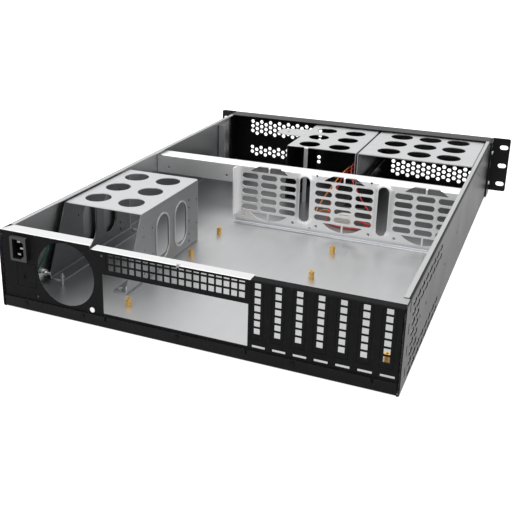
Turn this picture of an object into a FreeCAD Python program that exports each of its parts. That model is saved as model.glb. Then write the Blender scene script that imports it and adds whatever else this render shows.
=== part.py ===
import FreeCAD
import Part
import math
import os

# An empty 2U rackmount server case with its lid off.
# X runs across the case (+X is the power supply's side), Y runs front (-) to rear (+), Z is up.
# The origin is the centre of the base. Sizes are millimetres.

# Overall sizes
WIDTH = 430.0
DEPTH = 650.0
HEIGHT = 88.0
EAR_REACH = 26.3
EAR_SPAN = WIDTH + 2 * EAR_REACH
SHEET = 1.2
BEND = 0.8
EAR_SHEET = 2.0
SEAT = 0.1
SIDE_GAP = 0.8
PAST = 1.0
PINHOLE_SIDES = 8
ROUND_SIDES = 24
THROUGH = 8.0

# What stands proud of the rear and of the front
INLET_PROUD = 4.0
BUTTON_PROUD = 1.6
REAR = DEPTH / 2 - (INLET_PROUD - BUTTON_PROUD) / 2
FRONT = REAR - DEPTH

# Tray: floor, two walls, a lip at the rear
WALL_FLANGE = 7.0
WALL_FLANGE_REAR = 18.5
REAR_LIP = 13.0
LIP_NOTCHES = (301.0, 146.0, 25.0)
LIP_NOTCH_WIDTH = 2.0
LIP_NOTCH_DEPTH = 5.0

# Vents in the wall away from the supply
VENT_LENGTH = 15.5
VENT_WIDTH = 4.8
VENT_PITCH = 20.0
VENT_ROW_PITCH = 10.0
VENT_FIRST_ROW = 7.0
VENT_FIRST_COLUMN = 37.5
VENT_ROWS = 8
VENT_FULL_ROWS = (0, 1, 6, 7)
VENT_COLUMNS = 8
VENT_SHORT_COLUMNS = 2
SLIT_LENGTH = 11.0
SLIT_WIDTH = 3.0
SLIT_PITCH = 21.5
SLIT_FIRST = 16.5
SLIT_COUNT = 4
SLIT_INSET = 16.0
WALL_HOLES = ((105.0, 45.6, 2.2), (74.4, 45.6, 2.2), (220.0, 42.0, 2.0), (301.0, 52.0, 2.0))
WALL_FRONT_HOLES = ((190.0, 81.7, 2.0), (159.3, 70.6, 2.0))

# Rear panel: a sheet set inside the lip, its flange in two steps
SUPPLY_FLANGE_END = 112.0
SUPPLY_FLANGE_DEPTH = 17.5
BOARD_FLANGE_DROP = 3.6
BOARD_FLANGE_DEPTH = 14.0
SLOT_FLANGE_DEPTH = 10.5
FLANGE_STEP = 144.0
FLANGE_MITRE = 6.0
FLANGE_GAP = 1.0
FLANGE_NOTCH = 219.0
FLANGE_NOTCH_WIDTH = 3.5
FLANGE_NOTCH_DEPTH = 5.0
PANEL_RETURN = 10.0
PANEL_BASE = SHEET + BEND

# Opening for the board's connectors and the square perforation above it
IO_START = 145.25
IO_WIDTH = 158.75
IO_BASE = 15.5
IO_HEIGHT = 44.45
MESH_HOLE = 6.2
MESH_PITCH = 7.84
MESH_FIRST = 152.0
MESH_COLUMNS = 19
MESH_BASE = 67.9
MESH_ROWS = 3

# Seven expansion slots: a blanked opening, a column of square holes and a tongue slit each
SLOTS = 7
SLOT_PITCH = 20.32
SLOT_FIRST = 14.3
SLOT_HOLES = 7
SLOT_HOLE_BASE = 33.2
SLOT_HOLE_PITCH = 7.8
SLOT_BLANK_WIDTH = 12.7
SLOT_BLANK_BASE = 24.7
SLOT_BLANK_GROOVE = 0.35
SLOT_SLIT_WIDTH = 13.3
SLOT_SLIT_HEIGHT = 2.8
SLOT_SLIT_Z = 17.0
SLOT_SLIT_SHIFT = 2.0

# Power supply end of the rear panel
SUPPLY_HOLE = (81.5, 50.6)
SUPPLY_HOLE_R = 35.0
INLET_CENTRE = (27.7, 71.2)
INLET_BEZEL = (20.5, 27.0)
INLET_MOUTH = (14.0, 21.5)
INLET_CORNER = 4.0
INLET_WALL = 1.6
INLET_DEEP = 22.0
PIN_SECTION = (4.0, 2.0)
PIN_SPREAD = 7.0
PIN_SHIFT = (1.5, -2.0, 1.5)
INLET_EDGE = 1.5
KNOCKOUT_X = (20.5, 44.4)
KNOCKOUT_Z = (27.3, 55.1)
KNOCKOUT_GROOVE = 0.6
KNOCKOUT_WEB = 3.0
KNOCKOUT_DIMPLE = (31.0, 39.8)
KNOCKOUT_DIMPLE_SIZE = (4.0, 6.0)
PANEL_HOLES = ((45.0, 18.1, 1.8), (126.3, 79.3, 1.8))
PANEL_CREASE = 298.5
PANEL_CREASE_Z = (64.0, 83.0)
PANEL_SCREW = (114.0, 18.2)
LIP_RIVETS = (30.0, 101.4, 210.0, 330.0)
LIP_RIVET_Z = 8.3
RIVET_HEAD_R = 2.6
RIVET_HEAD = 0.8

# Drive cage at the rear, beside the supply's wall
REAR_CAGE_X = (6.0, 109.0)
REAR_CAGE_Y = (77.0, 262.0)
REAR_CAGE_TOP = 85.0
REAR_CAGE_SHOULDER = 115.0
REAR_CAGE_SHOULDER_Z = 9.0
REAR_CAGE_FOOT = 18.0
CAGE_HOLE_R = 13.25
REAR_CAGE_HOLES_X = (33.8, 79.0)
REAR_CAGE_HOLES_Y = (144.0, 190.0, 236.5)
SIDE_WINDOWS = (164.0, 211.5)
SIDE_WINDOW = (31.0, 55.0)
SIDE_WINDOW_Z = 41.6
SIDE_WINDOW_RIM = 2.0
SIDE_WINDOW_RISE = 1.0
RIVET_LINE_Y = 118.5
RIVET_LINE_Z = (66.4, 56.0, 39.0, 19.0, 10.0)
RIVET_LINE_R = 1.6

# Fan wall: one sheet across the case, with a beam over the drive bays
FAN_WALL_Y = 352.0
FAN_WALL_START = 305.0
FAN_WALL_TOP = 84.0
FAN_FLANGE = 22.0
FAN_FOOT = 7.0
FAN_END_FLANGE = 13.0
FAN_END_BASE = 13.0
BEAM_BASE = 57.7
FANS_X = (257.0, 152.5, 47.0)
FAN_Z = 47.3
FAN_REACH = 40.0
FAN_ROW_PITCH = 11.25
FAN_SLOT = (23.0, 7.3)
FAN_COLUMN_PITCH = 27.3
FAN_EDGE_Z = 33.7
FAN_EDGE_SLOT = (19.0, 9.0)
FAN_EDGE_SHIFT = 10.6
FAN_SCREW_OFFSET = 35.75
FAN_SCREW_R = 2.1
CABLE_OVALS = (205.2, 99.9)
CABLE_OVAL = (14.4, 63.0)
CABLE_OVAL_Z = 47.9
CABLE_OVAL_RIM = 4.8
CABLE_OVAL_CREST = 2.2
CABLE_OVAL_RISE = 2.0
CABLE_HOLE = (100.7, 18.2, 6.1)
FAN_HOLES = ((189.7, 82.0, 1.6), (188.5, 70.6, 2.5), (116.9, 82.0, 1.6), (236.1, 80.0, 2.5),
             (197.1, 7.4, 1.6), (320.0, 66.0, 2.0))
BEAM_HOLE = (20.0, 66.0, 2.0)

# Cages behind the front panel
FRONT_CAGE_X = (275.3, 170.3)
FRONT_CAGE_Y = (175.0, 23.0)
CAGE_TOP = 85.5
FRONT_CAGE_HOLES_X = (246.6, 200.7)
FRONT_CAGE_HOLES_Y = (154.0, 108.0, 62.0)
FRONT_CAGE_STRAP = (248.0, 242.0)
FRONT_CAGE_ARM_TIP = 316.0
FRONT_CAGE_ARM_Y = (114.0, 66.0)
FRONT_CAGE_ARM_TIP_Y = (110.0, 78.0)
FRONT_CAGE_ARM_ROUND = 12.0
FRONT_CAGE_ARM_HOLE = (301.1, 93.0, 2.2)
CAGE_FOOT = 14.0
BAY_CAGE_X = (168.0, 8.0)
BAY_CAGE_Y = (175.0, 13.0)
BAY_HOLE_R = 14.4
BAY_CAGE_HOLES_X = (130.0, 86.5, 45.0)
BAY_CAGE_HOLES_Y = (143.0, 96.0, 50.0)
BAY_SHELF_Z = 42.0
BAY_SHELF = 10.0

# Front panel: a black pan between the walls
PAN_FLANGE = 30.0
PAN_RETURN = 30.0
PAN_FOOT = 12.0
PERF_R = 3.4
PERF_PITCH = 8.15
PERF_ROW_PITCH = 8.3
PERF_COLUMNS = 16
PERF_FIRST = 31.2
PERF_UPPER_Z = 56.7
PERF_UPPER_ROWS = 3
PERF_LOWER_Z = 19.2
PERF_LOWER_ROWS = 2
PERF_BAY_FIRST = 150.0
PERF_BAY_Z = 15.3
PERF_BAY_ROWS = 3
BAY_X = (162.0, 14.0)
BAY_Z = (43.5, 85.0)
BAY_COVER_DEEP = 8.0
BAY_COVER_WALL = 2.0
BAY_COVER_FIT = 0.3
CONTROLS_X = 183.0
POWER_BUTTON_Z = 60.0
RESET_BUTTON_Z = 46.0
BUTTON_R = 4.0
BUTTON_COLLAR = 1.0
BUTTON_FIT = 0.3
BUTTON_DEEP = 9.0
BUTTON_TRAVEL = 1.5
SWITCH_HEIGHT = 2.0
SWITCH_WIDTH = 5.0
BOARD_EDGE = 9.0
BOARD_THICK = 1.6
BOARD_Z = (16.0, 70.0)
BOARD_POSTS_Z = (38.5, 67.0)
BOARD_POST = 4.0
LIGHTS_Z = (32.0, 24.0)
LIGHT_R = 1.5

# Rack ears, one each side
EAR_BASE = 4.5
EAR_TOP = 88.0
EAR_LEG = 32.0
EAR_LEG_BASE = 0.8
EAR_SLOT = (12.0, 7.0)
EAR_SLOT_EDGE = 8.75
EAR_SLOTS_Z = (16.0, 45.0, 74.0)
EAR_CHAMFER = 3.0
EAR_SCREW_Z = (20.0, 68.0)
EAR_SCREW_Y = 16.0
EAR_BEND = 1.6

# Angle on the supply's wall near the front
ANGLE_Y = (83.0, 39.0)
ANGLE_Z = (13.0, 80.0)
ANGLE_LEG = 12.0
ANGLE_HOLE = (53.0, 65.0, 2.2)

# Board standoffs
STANDOFF_COLUMNS = (0.0, 124.46, 281.94)
STANDOFF_ROWS = (0.0, 154.94, 241.3)
STANDOFF_FIRST = (23.56, 54.6)
STANDOFF_FLATS = 6.0
STANDOFF_HEIGHT = 9.0
STANDOFF_BORE_R = 1.3
STANDOFF_BORE = 7.0

# Screws
SCREW_HEAD_R = 2.9
SCREW_HEAD = 1.6
SCREW_HEAD_SIDES = 12
SCREW_R = 1.4
SCREW_LENGTH = 3.0
CAGE_SCREWS = ((18.0, 84.0), (97.0, 84.0), (18.0, 255.0), (97.0, 255.0))

# Stud on the floor for the power supply
FLOOR_STUD = (29.1, 68.7)
FLOOR_STUD_R = 1.5
FLOOR_STUD_HEIGHT = 14.0

# Earth stud on the supply's wall, its nut, the ring terminal and the lead from the inlet
EARTH_STUD = (71.8, 10.3)
EARTH_STUD_R = 1.9
EARTH_STUD_LENGTH = 9.0
NUT_FLATS = 7.0
NUT_HEIGHT = 3.2
RING_R = 4.6
RING_THICK = 0.8
RING_TONGUE = 1.0
RING_BARREL_R = 1.9
RING_BARREL = 8.0
RING_TILT = 15.0
LEAD_R = 1.3
LEAD_SIDES = 8
LEAD_SHARE = 0.45
EARTH_START = (32.0, 68.5)
EARTH_STRAIGHT = 13.0
EARTH_ROUTE = ((30.5, 46.0, 56.0), (23.0, 44.0, 41.0), (15.0, 40.0, 26.0), (8.5, 42.0, 12.0))
EARTH_TAIL = 7.5

# Leads of the front controls: each runs back through the front cage, then on to the plug
PLUG_X = (175.0, 150.0)
PLUG_Y = (394.0, 403.0)
PLUG_HEIGHT = 17.5
PLUG_CORNER = (9.0, 4.0)
CONTROL_LEAD_R = 0.8
POWER_LEAD_START = (180.0, 58.0)
POWER_LEAD_FRONT = ((179.0, 48.0, 57.0), (177.0, 94.0, 61.0), (176.0, 140.0, 66.0), (176.0, 176.0, 66.0))
POWER_LEAD_REAR = ((168.0, 450.0, 52.0), (148.0, 432.0, 31.0), (129.0, 416.0, 17.0), (121.0, 404.0, 10.0),
                   (128.0, 396.5, 8.0), (139.0, 397.5, 11.0))
POWER_LEAD_END = (398.5, 13.0)
RESET_LEAD_START = (184.0, 50.0)
RESET_LEAD_FRONT = ((183.0, 48.0, 49.0), (181.0, 94.0, 52.0), (180.0, 138.0, 58.0), (183.0, 176.0, 60.0))
RESET_LEAD_REAR = ((192.0, 450.0, 46.0), (202.0, 430.0, 26.0), (207.0, 413.0, 12.0), (201.0, 399.5, 14.0),
                   (190.0, 397.5, 22.0), (181.0, 398.0, 19.0))
RESET_LEAD_END = (398.5, 13.5)
LIGHT_LEAD_START = (187.5, 42.0)
LIGHT_LEAD_FRONT = ((187.0, 48.0, 41.0), (185.0, 94.0, 44.0), (184.0, 138.0, 50.0), (186.0, 176.0, 52.0))
LIGHT_LEAD_REAR = ((189.0, 450.0, 36.0), (191.0, 430.0, 17.0), (192.0, 412.0, 4.5), (187.0, 398.0, 2.3),
                   (175.0, 389.5, 2.2), (159.0, 387.0, 2.2), (143.0, 388.5, 2.3), (131.5, 395.5, 2.6),
                   (130.0, 407.0, 3.6), (139.0, 415.0, 5.5), (151.0, 416.5, 7.5), (161.0, 411.5, 8.8))
LIGHT_LEAD_END = (164.0, 9.0)


def across(distance):
    """X at a distance from the outer face of the supply's wall"""
    return WIDTH / 2 - distance


def beside(distance):
    """X at a distance from the outer face of the vented wall"""
    return distance - WIDTH / 2


def along(distance):
    """Y at a distance in front of the case's rear"""
    return REAR - distance


def behind(distance):
    """Y at a distance behind the case's front"""
    return FRONT + distance


def place(u, v, axis, at):
    """A point from two coordinates in the plane square to an axis, and its place on that axis"""
    if axis == "x":
        return FreeCAD.Vector(at, u, v)
    if axis == "y":
        return FreeCAD.Vector(u, at, v)
    return FreeCAD.Vector(u, v, at)


def block(x_range, y_range, z_range):
    """A plain box between two values on each axis"""
    x0, x1 = min(x_range), max(x_range)
    y0, y1 = min(y_range), max(y_range)
    z0, z1 = min(z_range), max(z_range)
    return Part.makeBox(x1 - x0, y1 - y0, z1 - z0, FreeCAD.Vector(x0, y0, z0))


def outline(points, radii, axis, at):
    """A closed wire through corner points, each corner rounded by a tangent arc"""
    corners = [place(u, v, axis, at) for u, v in points]
    count = len(corners)
    starts = []
    ends = []
    arcs = []
    for i, corner in enumerate(corners):
        before = (corners[i - 1] - corner).normalize()
        after = (corners[(i + 1) % count] - corner).normalize()
        radius = radii[i] if isinstance(radii, (list, tuple)) else radii
        if radius <= 0:
            starts.append(corner)
            ends.append(corner)
            arcs.append(None)
            continue
        half = before.getAngle(after) / 2
        reach = radius / math.tan(half)
        start = corner + before * reach
        end = corner + after * reach
        middle = corner + (before + after).normalize() * (radius / math.sin(half) - radius)
        starts.append(start)
        ends.append(end)
        arcs.append(Part.Arc(start, middle, end).toShape())
    edges = []
    for i in range(count):
        if arcs[i]:
            edges.append(arcs[i])
        following = starts[(i + 1) % count]
        if ends[i].distanceToPoint(following) > 1e-4:
            edges.append(Part.LineSegment(ends[i], following).toShape())
    return Part.Wire(edges)


def prism(points, radii, axis, start, end):
    """A rounded outline run between two values along an axis"""
    wire = outline(points, radii, axis, start)
    return Part.Face(wire).extrude(place(0, 0, axis, end - start))


def folded(points, axis, start, end):
    """Sheet folded along an open line, laid on the line's left and run between two values"""
    steps = [(b[0] - a[0], b[1] - a[1]) for a, b in zip(points, points[1:])]
    units = [(u / math.hypot(u, v), v / math.hypot(u, v)) for u, v in steps]
    normals = [(-v, u) for u, v in units]
    near_radii = [0.0]
    far_radii = [0.0]
    far = [(points[0][0] + normals[0][0] * SHEET, points[0][1] + normals[0][1] * SHEET)]
    for i in range(1, len(points) - 1):
        one, two = normals[i - 1], normals[i]
        scale = SHEET / (1 + one[0] * two[0] + one[1] * two[1])
        far.append((points[i][0] + (one[0] + two[0]) * scale, points[i][1] + (one[1] + two[1]) * scale))
        turns_left = units[i - 1][0] * units[i][1] - units[i - 1][1] * units[i][0] > 0
        near_radii.append(BEND + SHEET if turns_left else BEND)
        far_radii.append(BEND if turns_left else BEND + SHEET)
    last = normals[-1]
    far.append((points[-1][0] + last[0] * SHEET, points[-1][1] + last[1] * SHEET))
    near_radii.append(0.0)
    far_radii.append(0.0)
    return prism(list(points) + far[::-1], near_radii + far_radii[::-1], axis, start, end)


def rectangle(centre, size):
    """The four corners of a rectangle about a centre"""
    u, v = centre
    a, b = size[0] / 2, size[1] / 2
    return [(u - a, v - b), (u + a, v - b), (u + a, v + b), (u - a, v + b)]


def obround(centre, size, axis, start, end):
    """A slot with full round ends"""
    return prism(rectangle(centre, size), min(size) / 2 - 1e-3, axis, start, end)


def faceted_slot(centre, size):
    """The corners of a slot whose round ends are drawn with flat sides"""
    u, v = centre
    radius = min(size) / 2
    half = (size[0] / 2 - radius, size[1] / 2 - radius)
    quarter = ROUND_SIDES // 4
    points = []
    for turn, (way_u, way_v) in enumerate(((1, 1), (-1, 1), (-1, -1), (1, -1))):
        for i in range(quarter):
            angle = (turn + (i + 0.5) / quarter) * math.pi / 2
            points.append((u + way_u * half[0] + radius * math.cos(angle),
                           v + way_v * half[1] + radius * math.sin(angle)))
    return points


def vent(centre, size, axis, start, end):
    """A punched vent: a slot whose ends are cut to half an octagon"""
    u, v = centre
    a, b = size[0] / 2, size[1] / 2
    c = min(a, b) * (2 - math.sqrt(2))
    points = [(u - a + c, v - b), (u + a - c, v - b), (u + a, v - b + c), (u + a, v + b - c),
              (u + a - c, v + b), (u - a + c, v + b), (u - a, v + b - c), (u - a, v - b + c)]
    return prism(points, 0, axis, start, end)


def square(centre, size, axis, start, end):
    """A square or oblong hole"""
    return prism(rectangle(centre, size), 0, axis, start, end)


def drill(centre, radius, axis, start, end):
    """A round hole or bar"""
    base = place(centre[0], centre[1], axis, start)
    return Part.makeCylinder(radius, end - start, base, place(0, 0, axis, 1))


def polygon(centre, radius, sides, turn, axis, start, end):
    """A regular prism with its corners on a circle"""
    angles = [turn + 2 * math.pi * i / sides for i in range(sides)]
    points = [(centre[0] + radius * math.cos(a), centre[1] + radius * math.sin(a)) for a in angles]
    return prism(points, 0, axis, start, end)


def pinhole(centre, radius, axis, start, end):
    """A small punched hole, drawn with flat sides"""
    return polygon(centre, radius, PINHOLE_SIDES, math.pi / PINHOLE_SIDES, axis, start, end)


def punched(centre, radius, axis, start, end):
    """A large punched hole, drawn with many flat sides"""
    return polygon(centre, radius, ROUND_SIDES, math.pi / ROUND_SIDES, axis, start, end)


def cut_all(shape, tools):
    """The shape less every tool at once"""
    return shape.cut(Part.makeCompound(tools))


def join(first, others):
    """Several shapes that meet, joined as one piece with its seams removed"""
    return first.fuse(others).removeSplitter()


def wall_vents():
    """The field of slots in the wall away from the supply"""
    start = -WIDTH / 2 - PAST
    end = start + THROUGH
    tools = []
    for row in range(VENT_ROWS):
        z = VENT_FIRST_ROW + row * VENT_ROW_PITCH
        columns = VENT_COLUMNS if row in VENT_FULL_ROWS else VENT_SHORT_COLUMNS
        for column in range(columns):
            y = along(VENT_FIRST_COLUMN + column * VENT_PITCH)
            tools.append(vent((y, z), (VENT_LENGTH, VENT_WIDTH), "x", start, end))
    for i in range(SLIT_COUNT):
        centre = (along(SLIT_INSET), SLIT_FIRST + i * SLIT_PITCH)
        tools.append(vent(centre, (SLIT_WIDTH, SLIT_LENGTH), "x", start, end))
    for y, z, radius in WALL_HOLES:
        tools.append(pinhole((along(y), z), radius, "x", start, end))
    for y, z, radius in WALL_FRONT_HOLES:
        tools.append(pinhole((behind(y), z), radius, "x", start, end))
    return tools


def chassis_tray():
    """Floor, side walls and rear lip, folded from one galvanised sheet"""
    half = WIDTH / 2
    section = [(-half + WALL_FLANGE, HEIGHT), (-half, HEIGHT), (-half, 0), (half, 0), (half, HEIGHT),
               (half - WALL_FLANGE, HEIGHT)]
    tray = folded(section, "y", FRONT, REAR)
    inset = SHEET + BEND + PAST
    bend_zone = block((-half + inset, half - inset), (REAR - inset, REAR + PAST), (-PAST, inset))
    reach = half - inset
    lip = folded([(REAR - 3 * inset, 0), (REAR, 0), (REAR, REAR_LIP)], "x", -reach, reach)
    tray = join(tray.cut(bend_zone), [lip])
    tools = wall_vents()
    top = (HEIGHT - SHEET - BEND, HEIGHT + PAST)
    for side in (-1, 1):
        x_range = (side * (half - SHEET), side * (half - 2 * WALL_FLANGE))
        tools.append(block(x_range, (along(WALL_FLANGE_REAR), REAR + PAST), top))
        tools.append(block(x_range, (FRONT - PAST, FRONT + PAN_FLANGE + SEAT), top))
        start = side * half - THROUGH / 2
        for z in EAR_SCREW_Z:
            tools.append(pinhole((behind(EAR_SCREW_Y), z), SCREW_R + SEAT, "x", start, start + THROUGH))
    notch_z = (REAR_LIP - LIP_NOTCH_DEPTH, REAR_LIP + PAST)
    for x in LIP_NOTCHES:
        x_range = (beside(x) - LIP_NOTCH_WIDTH / 2, beside(x) + LIP_NOTCH_WIDTH / 2)
        tools.append(block(x_range, (REAR - SHEET - PAST, REAR + PAST), notch_z))
    for x in LIP_RIVETS:
        tools.append(pinhole((across(x), LIP_RIVET_Z), SCREW_R + SEAT, "y", REAR - THROUGH, REAR + PAST))
    for x, y in CAGE_SCREWS:
        tools.append(pinhole((across(x), along(y)), SCREW_R + SEAT, "z", -PAST, THROUGH))
    return cut_all(tray, tools)


def mesh_strip(start, end):
    """Square holes above the opening for the board's connectors"""
    ceiling = HEIGHT - BOARD_FLANGE_DROP - SHEET - BEND
    tools = []
    for row in range(MESH_ROWS):
        base = MESH_BASE - MESH_HOLE / 2 + row * MESH_PITCH
        top = min(base + MESH_HOLE, ceiling)
        for column in range(MESH_COLUMNS):
            centre = (beside(MESH_FIRST + column * MESH_PITCH), (base + top) / 2)
            tools.append(square(centre, (MESH_HOLE, top - base), "y", start, end))
    return tools


def slot_cuts(outer, start, end):
    """Holes, tongue slits and the grooved outline of each slot's blank"""
    ceiling = HEIGHT - BOARD_FLANGE_DROP - SHEET - BEND
    tools = []
    for slot in range(SLOTS):
        x = beside(SLOT_FIRST + slot * SLOT_PITCH)
        for row in range(SLOT_HOLES):
            base = SLOT_HOLE_BASE - MESH_HOLE / 2 + row * SLOT_HOLE_PITCH
            top = min(base + MESH_HOLE, ceiling)
            tools.append(square((x, (base + top) / 2), (MESH_HOLE, top - base), "y", start, end))
        slit = (x - SLOT_SLIT_SHIFT, SLOT_SLIT_Z)
        tools.append(square(slit, (SLOT_SLIT_WIDTH, SLOT_SLIT_HEIGHT), "y", start, end))
        size = (SLOT_BLANK_WIDTH, ceiling - SLOT_BLANK_BASE)
        middle = (x, SLOT_BLANK_BASE + size[1] / 2)
        inner = (size[0] - 2 * SLOT_BLANK_GROOVE, size[1] - 2 * SLOT_BLANK_GROOVE)
        groove = square(middle, size, "y", outer - SHEET / 3, outer + PAST)
        tools.append(groove.cut(square(middle, inner, "y", outer - SHEET, outer + 2 * PAST)))
    return tools


def knockout_cuts(outer, start, end):
    """The outline of the second inlet's knock-out, held by four webs, and its dimple"""
    x0, x1 = across(KNOCKOUT_X[1]), across(KNOCKOUT_X[0])
    z0, z1 = KNOCKOUT_Z
    middle = ((x0 + x1) / 2, (z0 + z1) / 2)
    size = (x1 - x0, z1 - z0)
    inner = (size[0] - 2 * KNOCKOUT_GROOVE, size[1] - 2 * KNOCKOUT_GROOVE)
    ring = square(middle, size, "y", start, end)
    ring = ring.cut(square(middle, inner, "y", start - PAST, end + PAST))
    webs = [square(middle, (KNOCKOUT_WEB, size[1] + PAST), "y", start - PAST, end + PAST),
            square(middle, (size[0] + PAST, KNOCKOUT_WEB), "y", start - PAST, end + PAST)]
    centre = (across(KNOCKOUT_DIMPLE[0]), KNOCKOUT_DIMPLE[1])
    dimple = vent(centre, KNOCKOUT_DIMPLE_SIZE, "y", outer - SHEET / 2, outer + PAST)
    return [ring.cut(Part.makeCompound(webs)), dimple]


def panel_flange(x_range, top, depth, outer):
    """The panel's top edge folded forward over part of its width"""
    line = [(outer - depth, top), (outer, top), (outer, top - 4 * SHEET)]
    return folded(line[::-1], "x", min(x_range), max(x_range))


def rear_panel():
    """Black rear sheet with its openings and perforation"""
    outer = REAR - SHEET - SEAT
    reach = WIDTH / 2 - SHEET - SIDE_GAP
    low_top = HEIGHT - BOARD_FLANGE_DROP
    leg = outer - PANEL_RETURN
    line = [(reach, leg), (reach, outer), (-reach, outer), (-reach, leg)]
    pan = folded(line, "z", PANEL_BASE, low_top - 3 * SHEET)
    split = across(SUPPLY_FLANGE_END)
    step = beside(FLANGE_STEP)
    high_z = (low_top - 4 * SHEET, HEIGHT - 3 * SHEET)
    high_sheet = block((split, reach - 2 * SHEET), (outer - SHEET, outer), high_z)
    high = panel_flange((split, reach), HEIGHT, SUPPLY_FLANGE_DEPTH, outer)
    low = panel_flange((step, split - FLANGE_GAP), low_top, BOARD_FLANGE_DEPTH, outer)
    slots = panel_flange((-reach, step), low_top, SLOT_FLANGE_DEPTH, outer)
    panel = join(pan, [high_sheet, high, low, slots])
    start = outer - SHEET - PAST
    end = outer + PAST
    tools = mesh_strip(start, end) + slot_cuts(outer, start, end) + knockout_cuts(outer, start, end)
    io_centre = (beside(IO_START + IO_WIDTH / 2), IO_BASE + IO_HEIGHT / 2)
    tools.append(square(io_centre, (IO_WIDTH, IO_HEIGHT), "y", start, end))
    tools.append(drill((across(SUPPLY_HOLE[0]), SUPPLY_HOLE[1]), SUPPLY_HOLE_R, "y", start, end))
    inlet = (across(INLET_CENTRE[0]), INLET_CENTRE[1])
    cutout = [m + 2 * INLET_WALL + 2 * SEAT for m in INLET_MOUTH]
    tools.append(square(inlet, cutout, "y", start, end))
    for x, z, radius in PANEL_HOLES:
        tools.append(pinhole((across(x), z), radius, "y", start, end))
    tools.append(pinhole((across(PANEL_SCREW[0]), PANEL_SCREW[1]), SCREW_R + SEAT, "y", start, end))
    for x in LIP_RIVETS:
        tools.append(pinhole((across(x), LIP_RIVET_Z), SCREW_R + SEAT, "y", start, end))
    crease = (beside(PANEL_CREASE), sum(PANEL_CREASE_Z) / 2)
    crease_size = (SHEET / 2, PANEL_CREASE_Z[1] - PANEL_CREASE_Z[0])
    tools.append(square(crease, crease_size, "y", outer - SHEET / 3, end))
    notch = beside(FLANGE_NOTCH)
    notch_x = (notch - FLANGE_NOTCH_WIDTH / 2, notch + FLANGE_NOTCH_WIDTH / 2)
    notch_z = (low_top - SHEET - PAST, low_top + PAST)
    tools.append(block(notch_x, (outer - FLANGE_NOTCH_DEPTH, outer + PAST), notch_z))
    front_edge = outer - SUPPLY_FLANGE_DEPTH - PAST
    for x, way in ((reach, -1), (split, 1)):
        side = x - way * PAST
        corner = [(side, front_edge), (x + way * FLANGE_MITRE, front_edge), (side, outer - BEND - SHEET)]
        tools.append(prism(corner, 0, "z", HEIGHT - SHEET - PAST, HEIGHT + PAST))
    return cut_all(panel, tools)


def screw(point, direction, length):
    """A flat-headed screw seated at a point, its shank running back from its head"""
    axis = "x" if direction.x else "y" if direction.y else "z"
    way = direction.x + direction.y + direction.z
    u, v, at = {"x": (point.y, point.z, point.x), "y": (point.x, point.z, point.y),
                "z": (point.x, point.y, point.z)}[axis]
    turn = math.pi / SCREW_HEAD_SIDES
    head = polygon((u, v), SCREW_HEAD_R, SCREW_HEAD_SIDES, turn, axis, at, at + way * SCREW_HEAD)
    shank = pinhole((u, v), SCREW_R, axis, at - way * length, at)
    return join(head, [shank])


def side_window(y, x_outer, way):
    """The tools for a rimmed oblong window in a cage's side: what is added and what is cut"""
    rise = x_outer + way * SIDE_WINDOW_RISE
    centre = (along(y), SIDE_WINDOW_Z)
    wide = (SIDE_WINDOW[0] + 2 * SIDE_WINDOW_RIM, SIDE_WINDOW[1] + 2 * SIDE_WINDOW_RIM)
    rim = prism(faceted_slot(centre, wide), 0, "x", min(x_outer, rise), max(x_outer, rise))
    start, end = x_outer - THROUGH / 2, x_outer + THROUGH / 2
    return rim, prism(faceted_slot(centre, SIDE_WINDOW), 0, "x", start, end)


def rear_drive_cage():
    """Bridge for the rear drives: top plate, sloped sides and inward feet from one sheet"""
    xa, xb = across(REAR_CAGE_X[0]), across(REAR_CAGE_X[1])
    floor = SHEET
    line = [(xa - REAR_CAGE_FOOT, floor), (xa, floor), (xa, REAR_CAGE_TOP), (xb, REAR_CAGE_TOP), (xb, floor),
            (xb + REAR_CAGE_FOOT, floor)]
    y_front, y_rear = along(REAR_CAGE_Y[1]), along(REAR_CAGE_Y[0])
    cage = folded(line, "y", y_front, y_rear)
    above = REAR_CAGE_TOP + PAST
    slope = [(y_rear, REAR_CAGE_SHOULDER_Z), (along(REAR_CAGE_SHOULDER), above),
             (y_rear + THROUGH, above), (y_rear + THROUGH, REAR_CAGE_SHOULDER_Z)]
    tools = [prism(slope, 0, "x", xb - PAST, xa + PAST)]
    rims = []
    for x_outer, way in ((xb, -1), (xa, 1)):
        for y in SIDE_WINDOWS:
            rim, hole = side_window(y, x_outer, way)
            rims.append(rim)
            tools.append(hole)
    start, end = xb - THROUGH / 2, xb + THROUGH / 2
    for z in RIVET_LINE_Z:
        tools.append(pinhole((along(RIVET_LINE_Y), z), RIVET_LINE_R, "x", start, end))
    for x in REAR_CAGE_HOLES_X:
        for y in REAR_CAGE_HOLES_Y:
            centre = (across(x), along(y))
            tools.append(punched(centre, CAGE_HOLE_R, "z", REAR_CAGE_TOP - THROUGH, above))
    for x, y in CAGE_SCREWS:
        tools.append(pinhole((across(x), along(y)), SCREW_R + SEAT, "z", 0, THROUGH))
    return cut_all(join(cage, rims), tools)


def fan_grille(x):
    """The rows of slots in front of one fan, trimmed to the fan's circle"""
    start = along(FAN_WALL_Y) - THROUGH / 2
    end = start + THROUGH
    slots = []
    for row in (-2, -1, 0, 1, 2):
        for column in (-1, 0, 1):
            centre = (beside(x) + column * FAN_COLUMN_PITCH, FAN_Z + row * FAN_ROW_PITCH)
            slots.append(vent(centre, FAN_SLOT, "y", start, end))
    for way in (-1, 1):
        for side in (-1, 1):
            centre = (beside(x) + side * FAN_EDGE_SHIFT, FAN_Z + way * FAN_EDGE_Z)
            slots.append(vent(centre, FAN_EDGE_SLOT, "y", start, end))
    circle = punched((beside(x), FAN_Z), FAN_REACH, "y", start - PAST, end + PAST)
    return Part.makeCompound(slots).common(circle)


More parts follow.
